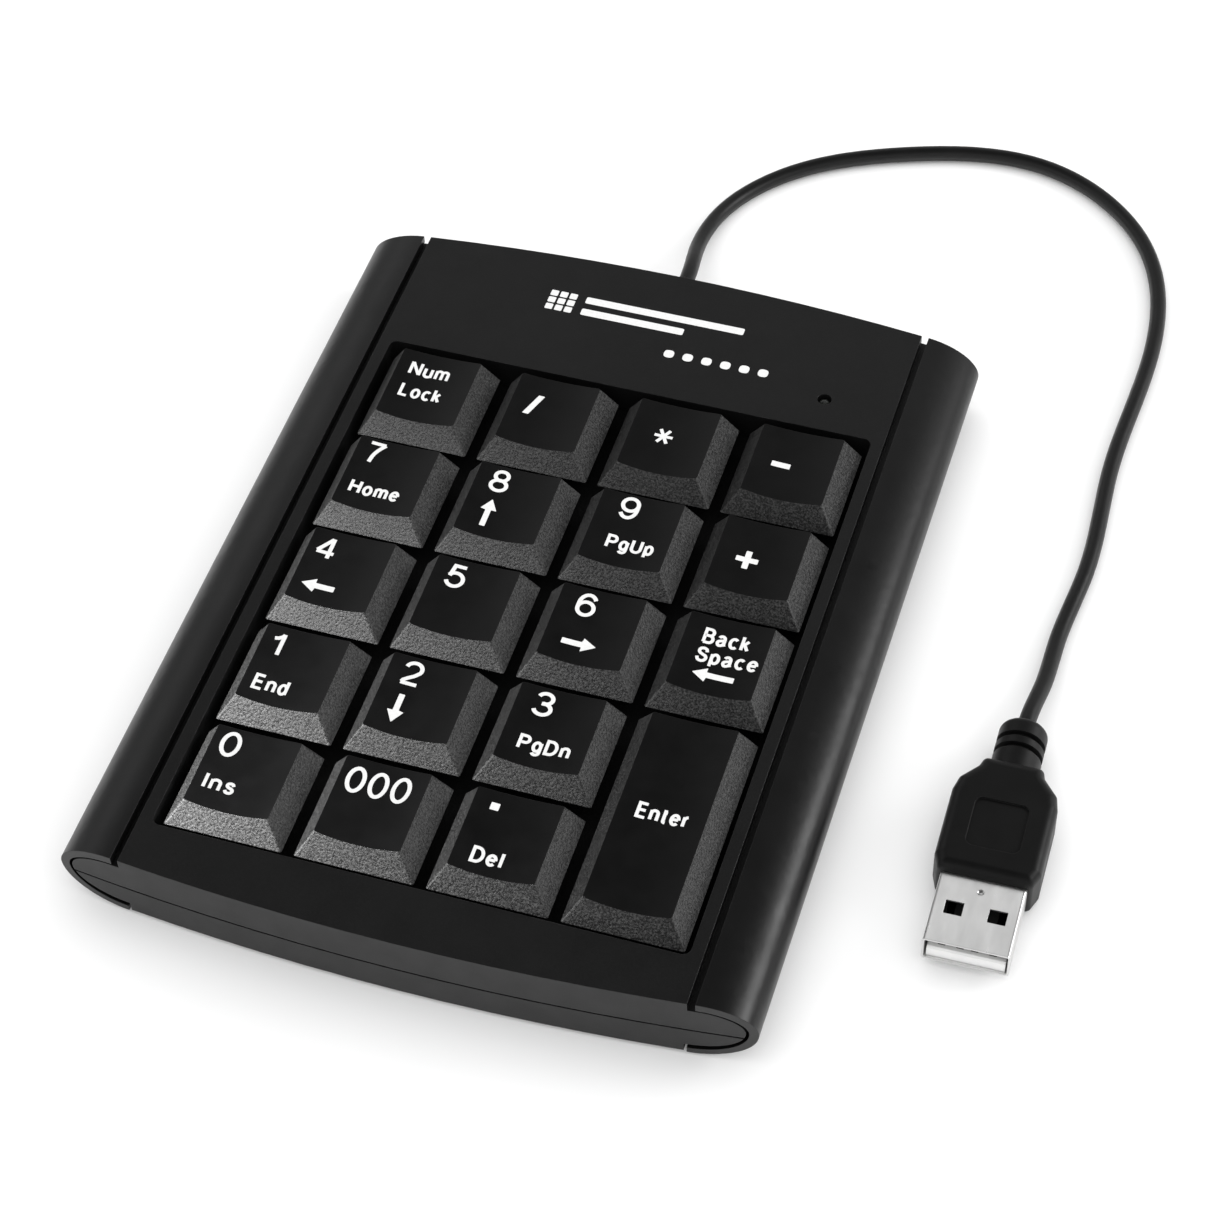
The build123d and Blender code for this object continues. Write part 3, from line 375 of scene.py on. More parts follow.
def film():
    """Clear switch film with printed silver tracks."""
    s = Shader("film")
    soft, edges = s.rounded(0.05)
    bands = s.new("ShaderNodeTexWave", wave_type="BANDS", bands_direction="DIAGONAL")
    s.put(bands.inputs["Vector"], s.place)
    bands.inputs["Scale"].default_value = 1.0 / (9.0 * MM)
    tracks = s.remap(bands.outputs[1], 0.86, 0.92, 0.0, 1.0)
    haze = s.noise(8.0, 3.0)
    base = s.tint(haze, (0.62, 0.66, 0.62), (0.72, 0.74, 0.70))
    s.set(
        Base_Color=s.mix(edges, s.mix(tracks, base, (0.45, 0.45, 0.44)), (0.8, 0.82, 0.8)),
        Roughness=s.vary(haze, 0.16, 0.3),
        Normal=s.bump(tracks, 0.01, soft),
    )
    return s.material


# the four wires from left to right: where each colour starts across the bundle, and the colour
BUNDLE_HALF = 4.5
WIRES = [
    (0.0, (0.45, 0.02, 0.015)),
    (0.25, (0.62, 0.60, 0.56)),
    (0.5, (0.02, 0.20, 0.05)),
    (0.75, (0.015, 0.015, 0.015)),
]


def wire_insulation():
    """Four wires: the colour follows each wire's place across the cable."""
    s = Shader("wire_insulation")
    soft, edges = s.rounded(0.05)
    ramp = s.new("ShaderNodeValToRGB")
    half = BUNDLE_HALF * MM
    s.put(ramp.inputs[0], s.remap(s.axis("X", s.place), -half, half, 0.0, 1.0))
    ramp.color_ramp.interpolation = "CONSTANT"
    stops = ramp.color_ramp.elements
    stops.remove(stops[1])
    stops[0].color = (*WIRES[0][1], 1.0)
    for position, colour in WIRES[1:]:
        stops.new(position).color = (*colour, 1.0)
    haze = s.noise(0.7, 3.0)
    pale = s.maths("MULTIPLY", s.maths("ADD", haze, edges), 0.1)
    s.set(
        Base_Color=s.mix(pale, ramp.outputs[0], grey(0.5)),
        Roughness=s.vary(haze, 0.3, 0.42),
        Normal=s.bump(haze, 0.01, soft),
    )
    return s.material


# sizes and depths in mm; "inside" is the range of Y over which painted shade darkens the plug's
# inner parts
PLASTICS = {
    "frame_plastic": dict(
        dark=grey(0.0015), light=grey(0.0025), rough=0.75, grain=0.4, depth=0.02, ior=1.3
    ),
    "dome_rubber": dict(dark=grey(0.34), light=warm(0.42), rough=0.62, grain=0.3, depth=0.015),
    "epoxy": dict(
        dark=grey(0.008), light=grey(0.013), rough=0.22, grain=1.2, depth=0.03, variation=3.0
    ),
    "capacitor_sleeve": dict(
        dark=(0.01, 0.014, 0.05), light=(0.016, 0.022, 0.075), rough=0.3, grain=0.5, depth=0.01
    ),
    "strip_rubber": dict(dark=grey(0.012), light=grey(0.02), rough=0.8, grain=0.25, depth=0.06),
    "foot_rubber": dict(dark=grey(0.013), light=grey(0.022), rough=0.75, grain=0.3, depth=0.04),
    "cable_jacket": dict(
        dark=grey(0.004), light=grey(0.006), rough=0.42, grain=0.25, depth=0.006, variation=9.0
    ),
    "plug_plastic": dict(
        dark=grey(0.0020), light=grey(0.0032), rough=0.46, grain=0.2, depth=0.006, variation=5.0,
        ior=1.42,
    ),
    # the insulator's white falls into painted shade deep inside the shell
    "insulator_plastic": dict(
        dark=grey(0.78), light=warm(0.86), rough=0.4, grain=0.3, depth=0.008, inside=(-39.8, -38.8)
    ),
}
METALS = {
    "plate_steel": dict(colour=(0.58, 0.59, 0.60), rough=0.34, run=(0.06, 1.0, 1.0), size=0.6),
    "can_metal": dict(colour=(0.70, 0.70, 0.68), rough=0.26, run=(1.0, 0.2, 1.0), size=0.3),
    "lead_metal": dict(colour=(0.68, 0.68, 0.66), rough=0.3, run=(1.0, 1.0, 0.1), size=0.3),
    "screw_steel": dict(colour=(0.50, 0.50, 0.50), rough=0.3, run=(1.0, 1.0, 0.2), size=0.25),
    "plug_nickel": dict(
        colour=(0.79, 0.79, 0.785), rough=0.30, run=(1.0, 0.25, 1.0), size=1.6, depth=0.0002,
        contrast=0.93,
    ),
    # the contacts darken into painted shade deep inside the plug
    "contact_gold": dict(
        colour=(0.83, 0.62, 0.27), rough=0.2, run=(1.0, 0.1, 1.0), size=0.2, inside=(-41.5, -40.2)
    ),
}
MATERIALS = {
    make.__name__: make()
    for make in (
        key_plastic, case_plastic, rail_plastic, print_white, lamp_lens, board_laminate, film,
        wire_insulation,
    )
}
MATERIALS.update({name: plain_plastic(name, **look) for name, look in PLASTICS.items()})
MATERIALS.update({name: metal(name, **look) for name, look in METALS.items()})

for name, piece in NODES.items():
    for held in piece.material_slots:
        held.material = MATERIALS[SLOT_OF[name]]


# ------------------------------------------------------------------ legends


def middle(node):
    """Centre of a CAD node seen from above, in mm."""
    low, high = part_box(node)
    return (low.x + high.x) / 2 / MM, (low.y + high.y) / 2 / MM


def mesh_piece(name, mesh, body, material):
    """Links a finished mesh as a piece that rides on a body."""
    mesh.materials.clear()
    mesh.materials.append(MATERIALS[material])
    piece = bpy.data.objects.new(name, mesh)
    bpy.context.scene.collection.objects.link(piece)
    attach(piece, body)
    return piece


def arc(x, y, rx, ry, start, end, step=15):
    """Points of an elliptical arc, with its angles in degrees."""
    steps = max(4, round(abs(end - start) / step))
    turns = [math.radians(start + (end - start) * k / steps) for k in range(steps + 1)]
    return [(x + rx * math.cos(a), y + ry * math.sin(a)) for a in turns]


def ring(x, y, rx, ry):
    return arc(x, y, rx, ry, 90, 450)


def flowing(*points):
    """Smooth path through the points."""
    ends = [points[0], *points, points[-1]]
    path = []
    for a, b, c, d in zip(ends, ends[1:], ends[2:], ends[3:]):
        for t in (0.0, 0.25, 0.5, 0.75):
            path.append(tuple(
                0.5 * (
                    2 * q
                    + (r - p) * t
                    + (2 * p - 5 * q + 4 * r - s) * t**2
                    + (3 * q - p - 3 * r + s) * t**3
                )
                for p, q, r, s in zip(a, b, c, d)
            ))
    return path + [points[-1]]


# Plain monoline type: each sign's width and the middle lines of its strokes; capitals are 1 high.
SIGNS = {
    "0": (0.58, [ring(0.29, 0.5, 0.29, 0.5)]),
    "1": (0.3, [[(0.3, 0), (0.3, 1)], [(0, 0.73), (0.13, 0.77), (0.24, 0.86), (0.3, 0.98)]]),
    "2": (0.58, [
        arc(0.29, 0.71, 0.28, 0.29, 170, -25)
        + [(0.4, 0.41), (0.2, 0.25), (0.07, 0.13), (0.03, 0.02)],
        [(0, 0), (0.58, 0)],
    ]),
    "3": (0.57, [
        arc(0.28, 0.755, 0.25, 0.245, 165, -90) + [(0.2, 0.51)],
        [(0.24, 0.53)] + arc(0.28, 0.265, 0.29, 0.265, 90, -165),
    ]),
    "4": (0.6, [[(0.43, 0), (0.43, 1)], [(0.41, 0.98), (0, 0.3)], [(-0.02, 0.26), (0.6, 0.26)]]),
    "5": (0.58, [[(0.54, 1), (0.13, 1), (0.06, 0.47)], arc(0.28, 0.33, 0.3, 0.33, 148, -162)]),
    "6": (0.58, [ring(0.29, 0.32, 0.29, 0.32), arc(0.3, 0.55, 0.3, 0.45, 32, 180) + [(0, 0.32)]]),
    "7": (0.56, [[(0, 1), (0.56, 1)], flowing((0.56, 1), (0.38, 0.72), (0.25, 0.4), (0.19, 0))]),
    "8": (0.58, [ring(0.29, 0.76, 0.24, 0.24), ring(0.29, 0.27, 0.29, 0.27)]),
    "9": (0.58, [
        ring(0.29, 0.68, 0.29, 0.32),
        arc(0.28, 0.45, 0.3, 0.45, -148, 0) + [(0.58, 0.68)],
    ]),
    "B": (0.56, [
        [(0, 0), (0, 1), (0.3, 1)] + arc(0.3, 0.765, 0.21, 0.235, 90, -90) + [(0, 0.53)],
        [(0.3, 0.53)] + arc(0.3, 0.265, 0.26, 0.265, 90, -90) + [(0, 0)],
    ]),
    "D": (0.62, [[(0, 0), (0, 1), (0.25, 1)] + arc(0.25, 0.5, 0.37, 0.5, 90, -90) + [(0, 0)]]),
    "E": (0.54, [[(0.52, 1), (0, 1), (0, 0), (0.54, 0)], [(0, 0.52), (0.48, 0.52)]]),
    "H": (0.62, [[(0, 0), (0, 1)], [(0.62, 0), (0.62, 1)], [(0, 0.52), (0.62, 0.52)]]),
    "I": (0.0, [[(0, 0), (0, 1)]]),
    "L": (0.5, [[(0, 1), (0, 0), (0.5, 0)]]),
    "N": (0.62, [[(0, 0), (0, 1)], [(0.62, 0), (0.62, 1)], [(0.02, 0.98), (0.6, 0.02)]]),
    "P": (0.56, [[(0, 0), (0, 1), (0.32, 1)] + arc(0.32, 0.74, 0.24, 0.26, 90, -90) + [(0, 0.48)]]),
    "S": (0.56, [flowing(
        (0.53, 0.74), (0.46, 0.93), (0.28, 1), (0.1, 0.93), (0.04, 0.75), (0.12, 0.6), (0.3, 0.51),
        (0.49, 0.42), (0.56, 0.26), (0.47, 0.07), (0.28, 0), (0.09, 0.07), (0, 0.28),
    )]),
    "U": (0.6, [[(0, 1), (0, 0.3)] + arc(0.3, 0.3, 0.3, 0.3, 180, 360) + [(0.6, 1)]]),
    "a": (0.46, [
        arc(0.22, 0.5, 0.19, 0.2, 160, 0) + [(0.41, 0.14), (0.46, 0)],
        flowing(
            (0.41, 0.41), (0.22, 0.37), (0.04, 0.29), (0, 0.15), (0.1, 0), (0.28, 0.03),
            (0.41, 0.17),
        ),
    ]),
    "c": (0.44, [arc(0.24, 0.35, 0.24, 0.35, 45, 315)]),
    "d": (0.44, [ring(0.22, 0.35, 0.22, 0.35), [(0.44, 0), (0.44, 1)]]),
    "e": (0.48, [[(0, 0.37), (0.46, 0.37)], arc(0.24, 0.35, 0.24, 0.35, 4, 318)]),
    "g": (0.44, [
        ring(0.22, 0.36, 0.22, 0.34),
        [(0.44, 0.7), (0.44, -0.05)] + arc(0.22, -0.05, 0.22, 0.22, 0, -155),
    ]),
    "k": (0.41, [[(0, 0), (0, 1)], [(0.38, 0.7), (0, 0.26)], [(0.15, 0.42), (0.41, 0)]]),
    "l": (0.0, [[(0, 0), (0, 1)]]),
    "m": (0.76, [
        [(0, 0), (0, 0.7)],
        [(0, 0.4)] + arc(0.19, 0.5, 0.19, 0.2, 180, 0) + [(0.38, 0)],
        [(0.38, 0.4)] + arc(0.57, 0.5, 0.19, 0.2, 180, 0) + [(0.76, 0)],
    ]),
    "n": (0.44, [
        [(0, 0), (0, 0.7)],
        [(0, 0.4)] + arc(0.22, 0.48, 0.22, 0.22, 180, 0) + [(0.44, 0)],
    ]),
    "o": (0.48, [ring(0.24, 0.35, 0.24, 0.35)]),
    "p": (0.44, [[(0, 0.7), (0, -0.27)], ring(0.22, 0.35, 0.22, 0.35)]),
    "r": (0.26, [[(0, 0), (0, 0.7)], [(0, 0.36)] + arc(0.25, 0.4, 0.25, 0.3, 180, 95)]),
    "s": (0.38, [flowing(
        (0.36, 0.53), (0.3, 0.66), (0.18, 0.7), (0.05, 0.64), (0.03, 0.51), (0.1, 0.42),
        (0.2, 0.37), (0.33, 0.3), (0.38, 0.18), (0.31, 0.04), (0.18, 0), (0.06, 0.05), (0, 0.18),
    )]),
    "t": (0.24, [
        [(0.09, 0.92), (0.09, 0.1)] + arc(0.19, 0.1, 0.1, 0.1, 180, 270) + [(0.24, 0)],
        [(0, 0.7), (0.24, 0.7)],
    ]),
    "u": (0.44, [
        [(0, 0.7), (0, 0.2)] + arc(0.21, 0.2, 0.21, 0.2, 180, 320),
        [(0.44, 0), (0.44, 0.7)],
    ]),
}
LETTER_GAP = 0.13
# a path's points that lie closer than this, in mm, count as one
CLOSEST_POINTS = 0.02
# bounds how far a band's outer corner reaches at a sharp bend
SHARPEST_MITRE = 0.35


def ribbon(path, width):
    """Flat band along a path in mm; a path that ends where it began closes on itself."""
    closed = (Vector(path[0]) - Vector(path[-1])).length < TINY
    points = []
    for spot in (path[:-1] if closed else path):
        if not points or (Vector(spot) - points[-1]).length > CLOSEST_POINTS:
            points.append(Vector(spot))
    count = len(points)
    faces = bmesh.new()
    pairs = []
    for i, here in enumerate(points):
        back = here - points[i - 1] if closed or i else points[1] - here
        ahead = points[(i + 1) % count] - here if closed or i < count - 1 else back
        back, ahead = back.normalized(), ahead.normalized()
        between = (back + ahead).normalized()
        reach = width / 2 / max(SHARPEST_MITRE, between.dot(ahead))
        side = Vector((-between.y, between.x)) * reach
        pairs.append([faces.verts.new((p.x, p.y, 0.0)) for p in (here + side, here - side)])
    for a, b in zip(pairs, pairs[1:] + pairs[:1] if closed else pairs[1:]):
        faces.faces.new((a[0], a[1], b[1], b[0]))
    return faces


def word(text, left, base, width, rise, stroke=0.48):
    """Bands of a word, in mm: its left edge, foot, whole width, height of the capitals, stroke."""
    scale = rise - stroke
    gap = stroke / scale + LETTER_GAP
    span = sum(SIGNS[sign][0] for sign in text) + gap * (len(text) - 1)
    across = (width - stroke) / span
    bands = []
    start = 0.0
    for sign in text:
        wide, strokes = SIGNS[sign]
        for path in strokes:
            place = [
                (left + stroke / 2 + (start + x) * across, base + stroke / 2 + y * scale)
                for x, y in path
            ]
            bands.append(ribbon(place, stroke))
        start += wide + gap
    return bands


def numeral(text, left, base, width, rise=4.3):
    return word(text, left, base, width, rise, 0.6)


def outline(points, round_by=0.12, steps=4):
    """One flat face with rounded corners, from points in mm listed anticlockwise."""
    faces = bmesh.new()
    corners = []
    count = len(points)
    for i, here in enumerate(points):
        here = Vector(here)
        back, ahead = Vector(points[i - 1]) - here, Vector(points[(i + 1) % count]) - here
        reach = min(round_by, back.length / 2, ahead.length / 2)
        start, end = here + back.normalized() * reach, here + ahead.normalized() * reach
        for k in range(steps + 1):
            t = k / steps
            corners.append(start.lerp(here, t).lerp(here.lerp(end, t), t))
    face = faces.faces.new([faces.verts.new((p.x, p.y, 0.0)) for p in corners])
    bmesh.ops.triangulate(faces, faces=[face])
    return faces


def bar(left, low, right, high, round_by=0.15):
    return outline([(left, low), (right, low), (right, high), (left, high)], round_by)


def arrow(tail, tip, shaft=0.95, head=2.45, head_length=2.05):
    """Arrow from tail to tip, in mm."""
    tail, tip = Vector(tail), Vector(tip)
    along = (tip - tail).normalized()
    side = Vector((-along.y, along.x))
    neck = tip - along * head_length
    points = [
        tail - side * shaft / 2,
        neck - side * shaft / 2,
        neck - side * head / 2,
        tip,
        neck + side * head / 2,
        neck + side * shaft / 2,
        tail + side * shaft / 2,
    ]
    return outline(points, 0.14)


def star(x, y, arms, width):
    """Bands through one point, each given by the end of one of its halves."""
    return [ribbon([(x - i, y - j), (x + i, y + j)], width) for i, j in arms]


# in mm: between the cuts across a mark, between crossing strokes, and where the rays start
CUT_STEP = 0.8
STROKE_STEP = 0.0015
ABOVE_ALL = 50.0


def drape(parts, name, body, node, lift=0.02):
    """Lays flat marks, in mm from the node's middle, on its upper surface as one printed piece."""
    shape = NODES[node].data
    surface = BVHTree.FromPolygons(
        [v.co for v in shape.vertices], [polygon.vertices for polygon in shape.polygons]
    )
    x, y = middle(node)
    whole = bmesh.new()
    layer = whole.verts.layers.float.new("layer")
    for rank, part in enumerate(parts):
        before = len(whole.verts)
        step = bpy.data.meshes.new("part")
        part.to_mesh(step)
        whole.from_mesh(step)
        bpy.data.meshes.remove(step)
        part.free()
        whole.verts.ensure_lookup_table()
        for v in whole.verts[before:]:
            v[layer] = rank
            v.co += Vector((x, y, 0.0))
    # cuts across the marks let them follow the hollow of a key's top
    across = [v.co.x for v in whole.verts]
    cut = math.floor(min(across)) + 0.5
    while cut < max(across):
        everything = whole.verts[:] + whole.edges[:] + whole.faces[:]
        bmesh.ops.bisect_plane(whole, geom=everything, plane_co=(cut, 0, 0), plane_no=(1, 0, 0))
        cut += CUT_STEP
    for v in whole.verts:
        spot = Vector((v.co.x, v.co.y, ABOVE_ALL)) * MM
        hit = surface.ray_cast(spot, Vector((0, 0, -1)))[0]
        # crossing strokes lie a hair above each other, so that no two faces share a plane
        v.co = Vector((spot.x, spot.y, hit.z + (lift + STROKE_STEP * round(v[layer])) * MM))
    bmesh.ops.recalc_face_normals(whole, faces=whole.faces[:])
    for face in whole.faces:
        if face.normal.z < 0:
            face.normal_flip()
    joined = bpy.data.meshes.new(name)
    whole.to_mesh(joined)
    whole.free()
    return mesh_piece(name, joined, body, "print_white")


# each key's marks, in mm from the middle of its cap
LEGENDS = {
    "num_lock": word("Num", -4.225, 2.45, 6.4, 2.85) + word("Lock", -4.225, -2.05, 6.6, 2.75),
    "divide": [outline([(-3.875, -0.35), (-2.925, -0.35), (-1.525, 3.7), (-2.475, 3.7)], 0.1)],
    "multiply": star(-1.045, 0.95, ((1.4, 0.0), (0.75, 1.3), (0.75, -1.3)), 0.52),
    "minus": [bar(-3.175, -0.3, -0.325, 0.7)],
    "7": numeral("7", -4.625, 2.4, 2.85) + word("Home", -4.625, -3.7, 7.8, 2.65),
    "8": numeral("8", -3.975, 2.3, 2.95) + [arrow((-2.425, -4.4), (-2.425, 0.8), 0.85)],
    "9": numeral("9", -3.075, 2.55, 2.95) + word("PgUp", -3.075, -3.4, 7.25, 2.65),
    "plus": [bar(-3.125, -0.5, 0.175, 0.4), bar(-1.925, -1.7, -1.025, 1.6)],
    "4": numeral("4", -4.925, 1.85, 3.1) + [arrow((0.275, -3.05), (-4.725, -3.05))],
    "5": numeral("5", -4.125, 2.0, 2.95),
    "6": numeral("6", -3.475, 2.15, 2.95) + [arrow((-3.525, -2.75), (1.575, -2.75))],
    "backspace": word("Back", -3.475, 2.25, 6.9, 2.85) + word("Space", -3.575, -1.1, 9.1, 2.75)
    + [arrow((2.875, -3.15), (-3.225, -3.05))],
    "1": numeral("1", -4.775, 1.95, 1.85) + word("End", -4.675, -4.3, 5.25, 2.75),
    "2": numeral("2", -4.075, 2.3, 2.95) + [arrow((-2.725, 0.6), (-2.725, -4.4), 0.85)],
    "3": numeral("3", -3.675, 2.3, 2.95) + word("PgDn", -3.675, -3.85, 7.6, 2.65),
    "enter": word("Enter", -3.575, -0.975, 7.5, 2.75),
    "0": numeral("0", -4.925, 2.35, 2.95) + word("Ins", -4.725, -3.5, 4.6, 2.75),
    "000": numeral("000", -5.125, 1.45, 9.35, 4.45),
    "decimal": [bar(-3.675, 4.15, -2.425, 5.35, 0.1)] + word("Del", -3.675, -4.7, 4.55, 2.7),
}
for key, parts in LEGENDS.items():
    drape(parts, "legend_" + key, "key_" + key, "keycap_" + key)

# header: a plain key-grid pictogram with stripes, and a row of dots below
SQUARE, SQUARE_STEP_X, SQUARE_STEP_Y = 1.2, 1.55, 1.5
DOT, DOT_STEP = 1.6, 3.0
columns = [-17.8 + SQUARE_STEP_X * i for i in range(3)]
rows = [53.2 + SQUARE_STEP_Y * j for j in range(3)]
grid = [bar(x, y, x + SQUARE, y + SQUARE, 0.2) for x in columns for y in rows]
stripes = [bar(-12.0, 55.9, 13.6, 57.3, 0.3), bar(-12.0, 53.3, 4.6, 54.7, 0.3)]
starts = [3.0 + DOT_STEP * i for i in range(6)]
dots = [bar(x, 48.1, x + DOT, 48.1 + DOT, 0.7) for x in starts]
drape(grid + stripes + dots, "header_mark", "case", "top_cover", 0.015)


# ------------------------------------------------------------------ rubber domes under the keys

# a dome's outside and inside from the foot up, as radius and height above the sheet's underside
DOME_OUTER = [
    (4.4, 0.43), (4.2, 0.68), (2.75, 2.43), (2.55, 2.73), (2.55, 3.58), (2.4, 3.73), (1.2, 3.73),
    (0.0, 3.725),
]
DOME_INNER = [
    (3.8, 0.43), (3.65, 0.63), (2.2, 2.08), (1.95, 2.23), (1.1, 2.23), (1.1, 1.28), (1.0, 1.23),
    (0.0, 1.23),
]
SHEET_THICKNESS = 0.5
HOLE_RADIUS = 3.85
AROUND = 48
TURNS = [2 * math.pi * k / AROUND for k in range(AROUND)]


def sheet_mesh(name, shape):
    """Turns a finished bmesh of the dome sheet into a mesh."""
    mesh = bpy.data.meshes.new(name)
    shape.to_mesh(mesh)
    shape.free()
    return mesh


def dome(name, body, x, y, foot):
    """One dome: up its outside to the top, then down the inside of the pusher to the foot."""
    shape = bmesh.new()
    rings = []
    for radius, height in DOME_OUTER + DOME_INNER[::-1]:
        turns = TURNS if radius else [0.0]
        rings.append([
            shape.verts.new(
                Vector((x + radius * math.cos(a), y + radius * math.sin(a), foot + height)) * MM
            )
            for a in turns
        ])
    rings.append(rings[0])
    for low, high in zip(rings, rings[1:]):
        if len(low) == len(high) == 1:
            continue
        for k in range(AROUND):
            n = (k + 1) % AROUND
            below = (low[k % len(low)], low[n % len(low)])
            above = (high[n % len(high)], high[k % len(high)])
            shape.faces.new(list(dict.fromkeys(below + above)))
    bmesh.ops.recalc_face_normals(shape, faces=shape.faces[:])
    mesh = sheet_mesh(name, shape)
    for polygon in mesh.polygons:
        polygon.use_smooth = True
    piece = mesh_piece(name, mesh, body, "dome_rubber")
    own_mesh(piece)


def reach_to(edge_low, edge_high, here, way):
    """Distance to a cell's edge ahead, where way is the direction's part across that edge."""
    if abs(way) < TINY:
        return math.inf
    return ((edge_high if way > 0 else edge_low) - here) / way


def web(cells, low, high):
    """The sheet between the domes: one ring of faces from each dome's foot to its cell's edges."""
    shape = bmesh.new()
    for (x, y), (x0, x1, y0, y1) in cells:
        inner, outer = {}, {}
        for k, a in enumerate(TURNS):
            dx, dy = math.cos(a), math.sin(a)
            reach = min(reach_to(x0, x1, x, dx), reach_to(y0, y1, y, dy))
            for z in (low, high):
                for ring_of, far in ((inner, HOLE_RADIUS), (outer, reach)):
                    ring_of[k, z] = shape.verts.new(Vector((x + far * dx, y + far * dy, z)) * MM)
        for k in range(AROUND):
            n = (k + 1) % AROUND
            shape.faces.new((inner[k, high], outer[k, high], outer[n, high], inner[n, high]))
            shape.faces.new((inner[n, low], outer[n, low], outer[k, low], inner[k, low]))
            shape.faces.new((inner[k, low], inner[k, high], inner[n, high], inner[n, low]))
            shape.faces.new((outer[n, low], outer[n, high], outer[k, high], outer[k, low]))
    mesh = sheet_mesh("dome_web", shape)
    return mesh_piece("dome_web", mesh, "case", "dome_rubber")


HALF_PITCH = 9.525
HALF_KEY_GAP = 1.175
# a cell's edge this near the sheet's border, in mm, moves onto it
EDGE_REACH = 2.0


def snapped(edge, border):
    """A cell's edge, or the sheet's border where that is near."""
    return border if abs(edge - border) < EDGE_REACH else edge


sheet_low, sheet_high = (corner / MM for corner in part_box("dome_sheet"))
cells = []
for key in LEGENDS:
    x, y = middle("keycap_" + key)
    low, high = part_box("keycap_" + key)
    half_depth = (high.y - low.y) / 2 / MM + HALF_KEY_GAP
    cells.append(((x, y), (
        snapped(x - HALF_PITCH, sheet_low.x),
        snapped(x + HALF_PITCH, sheet_high.x),
        snapped(y - half_depth, sheet_low.y),
        snapped(y + half_depth, sheet_high.y),
    )))
    dome("dome_" + key, "case", x, y, sheet_low.z)
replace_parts(web(cells, sheet_low.z, sheet_low.z + SHEET_THICKNESS), "dome_sheet")


# ------------------------------------------------------------------ floor, light and camera

# the floor's half side in metres, how far it lies under the feet in mm, and its loss when mirrored
FLOOR_HALF = 4.0
FLOOR_DROP = 0.02
FLOOR_MIRRORED_LOSS = 0.12


def floor():
    """Pale floor, a little darker where glossy surfaces mirror it."""
    s = Shader("floor")
    tone = s.tint(s.noise(60.0), grey(0.90), grey(0.93))
    mirrored = s.new("ShaderNodeLightPath").outputs["Is Glossy Ray"]
    s.set(
        Base_Color=s.mix(s.maths("MULTIPLY", mirrored, FLOOR_MIRRORED_LOSS), tone, grey(0.0)),
        Roughness=0.9,
        Specular_IOR_Level=0.0,
    )
    mesh = bpy.data.meshes.new("floor")
    signs = ((-1, -1), (1, -1), (1, 1), (-1, 1))
    corners = [(FLOOR_HALF * i, FLOOR_HALF * j, 0.0) for i, j in signs]
    mesh.from_pydata(corners, [], [(0, 1, 2, 3)])
    mesh.materials.append(s.material)
    piece = bpy.data.objects.new("floor", mesh)
    piece.location.z = -FLOOR_DROP * MM
    bpy.context.scene.collection.objects.link(piece)
    piece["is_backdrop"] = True
    return piece


def softbox(name, place, aim, size, power, only=(), shadows_of=(), spread=180.0):
    """Rectangular soft light that the camera doesn't see.

    Given pieces, it lights only those and takes shadows only from those.
    """
    lamp = bpy.data.lights.new(name, "AREA")
    lamp.shape = "RECTANGLE"
    lamp.size, lamp.size_y = size
    lamp.energy = power
    lamp.spread = math.radians(spread)
    holder = bpy.data.objects.new(name, lamp)
    holder.location = place
    holder.rotation_mode = "QUATERNION"
    holder.rotation_quaternion = (Vector(aim) - Vector(place)).to_track_quat("-Z", "Y")
    holder.visible_camera = False
    bpy.context.scene.collection.objects.link(holder)
    for pieces, role in ((only, "receiver_collection"), (shadows_of, "blocker_collection")):
        if pieces:
            group = bpy.data.collections.new(name + role)
            for piece in pieces:
                group.objects.link(piece)
            setattr(holder.light_linking, role, group)


ROOM_LEVEL = 1.08
# what glossy surfaces mirror of the room: the ray's upward part, and the brightness there
MIRRORED_ROOM = [(0.0, 0.22), (0.3, 0.22), (0.60, 0.80), (0.73, 0.08), (0.86, 0.0)]


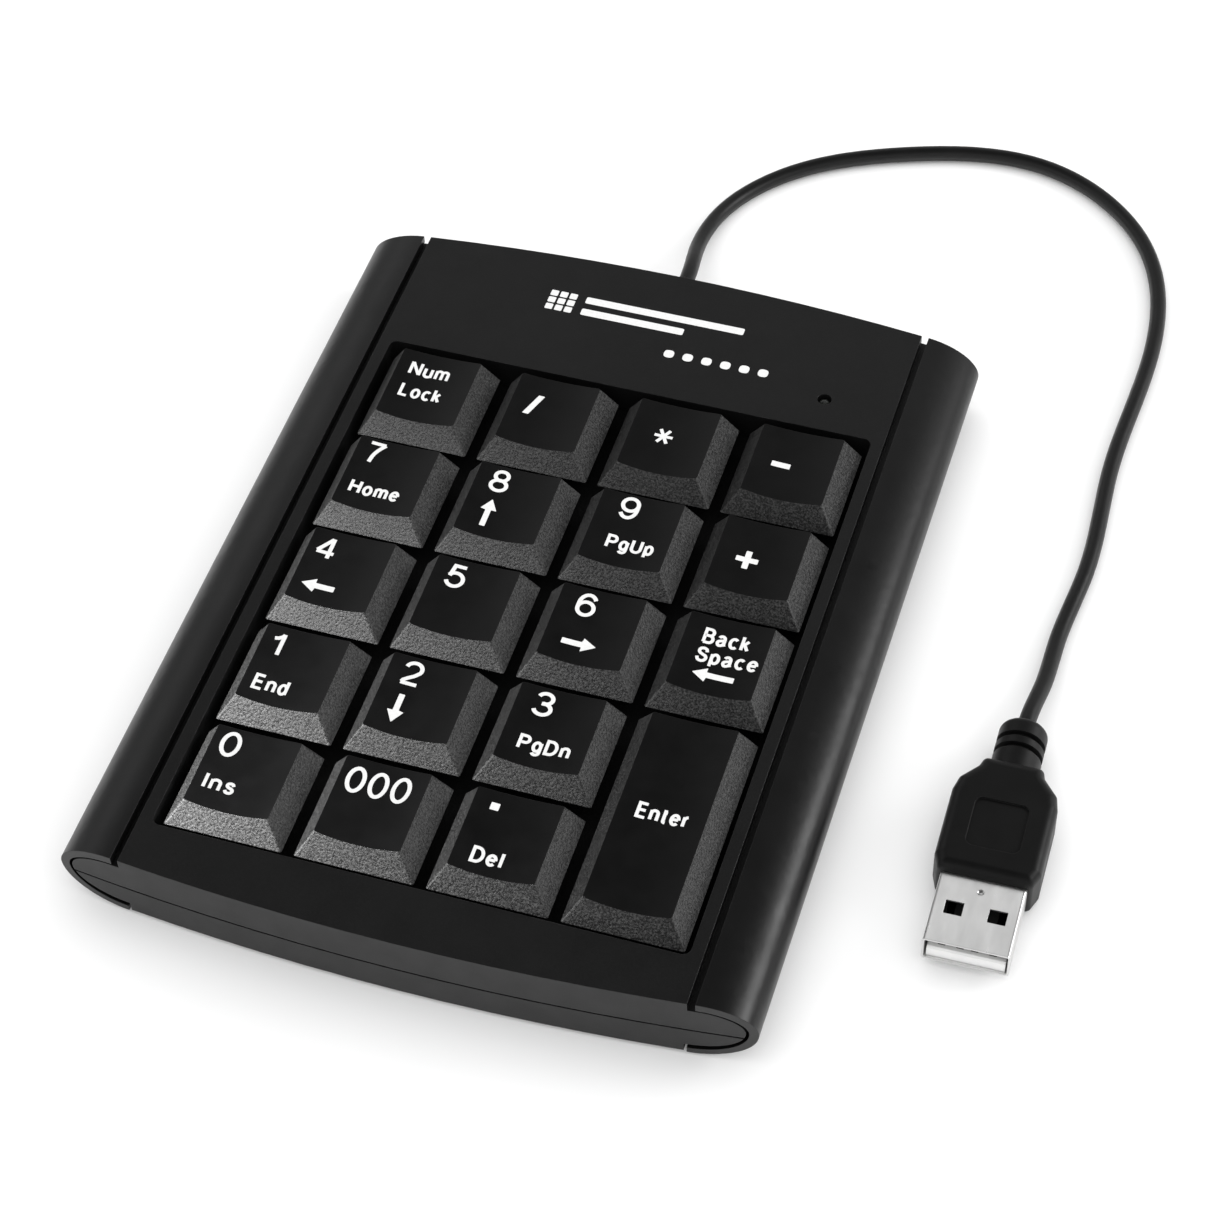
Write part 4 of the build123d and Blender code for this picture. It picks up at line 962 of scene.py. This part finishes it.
def studio():
    """White room for the camera and for matt light; its mirror image darkens towards the top."""
    world = bpy.data.worlds.new("studio")
    bpy.context.scene.world = world
    world.use_nodes = True
    tree = world.node_tree
    ray = tree.nodes.new("ShaderNodeLightPath")
    place = tree.nodes.new("ShaderNodeTexCoord")
    split = tree.nodes.new("ShaderNodeSeparateXYZ")
    tree.links.new(place.outputs["Generated"], split.inputs[0])
    dusk = tree.nodes.new("ShaderNodeValToRGB")
    tree.links.new(split.outputs["Z"], dusk.inputs[0])
    stops = dusk.color_ramp.elements
    stops.remove(stops[1])
    stops[0].position, stops[0].color = MIRRORED_ROOM[0][0], (*grey(MIRRORED_ROOM[0][1]), 1.0)
    for height, level in MIRRORED_ROOM[1:]:
        stops.new(height).color = (*grey(level), 1.0)
    seen = tree.nodes.new("ShaderNodeMix")
    seen.data_type = "RGBA"
    tree.links.new(ray.outputs["Is Glossy Ray"], seen.inputs[0])
    seen.inputs[6].default_value = (*grey(ROOM_LEVEL), 1.0)
    tree.links.new(dusk.outputs[0], seen.inputs[7])
    tree.links.new(seen.outputs[2], tree.nodes["Background"].inputs["Color"])


FLOOR = [floor()]
studio()
KEYCAPS = [NODES["keycap_" + key] for key in LEGENDS]
SHELL = [NODES["plug_shell"]]
PLUG_METAL = SHELL + [NODES["plug_insulator"]]
softbox(
    "front_left", (-0.148, -0.142, 0.104), (-0.121, -0.114, 0.011), (0.03, 0.03), 1.7,
    KEYCAPS, FLOOR, spread=91.0,
)
softbox("right", (0.24, 0.02, 0.08), (-0.02, -0.05, 0.01), (0.10, 0.05), 0.22, KEYCAPS, FLOOR)
softbox("front", (-0.25, -0.42, 0.20), (-0.03, -0.05, 0.01), (0.20, 0.12), 0.20, PLUG_METAL, FLOOR)
softbox("rear_right", (0.56, 0.27, 0.30), (0.03, -0.03, 0.01), (0.30, 0.20), 1.0)
softbox("floor_wash", (0.0, 0.0, 0.8), (0.0, 0.0, 0.0), (1.2, 1.2), 2.0, FLOOR, FLOOR)
softbox("over_plug", (-0.01, 0.25, 0.42), (0.072, -0.035, 0.006), (0.30, 0.20), 0.17, SHELL)

# the photo's viewing angle: where the camera stands, its picture's rightward way and its view
SENSOR, LENS = 36.0, 94.66
CAMERA_PLACE = (0.10667, -0.28134, 0.36157)
PICTURE_RIGHT = Vector((0.95359, 0.30011, -0.02431))
VIEW_AHEAD = Vector((-0.21138, 0.60980, -0.76385)).normalized()

camera_data = bpy.data.cameras.new("camera")
camera_data.sensor_width = SENSOR
camera_data.lens = LENS
camera_data.clip_start, camera_data.clip_end = 0.01, 20.0
camera = bpy.data.objects.new("camera", camera_data)
bpy.context.scene.collection.objects.link(camera)
above = PICTURE_RIGHT.cross(VIEW_AHEAD).normalized()
turn = Matrix((VIEW_AHEAD.cross(above), above, -VIEW_AHEAD)).transposed()
camera.matrix_world = Matrix.Translation(CAMERA_PLACE) @ turn.to_4x4()
bpy.context.scene.camera = camera
bpy.context.scene.view_settings.view_transform = "Standard"

low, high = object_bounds()
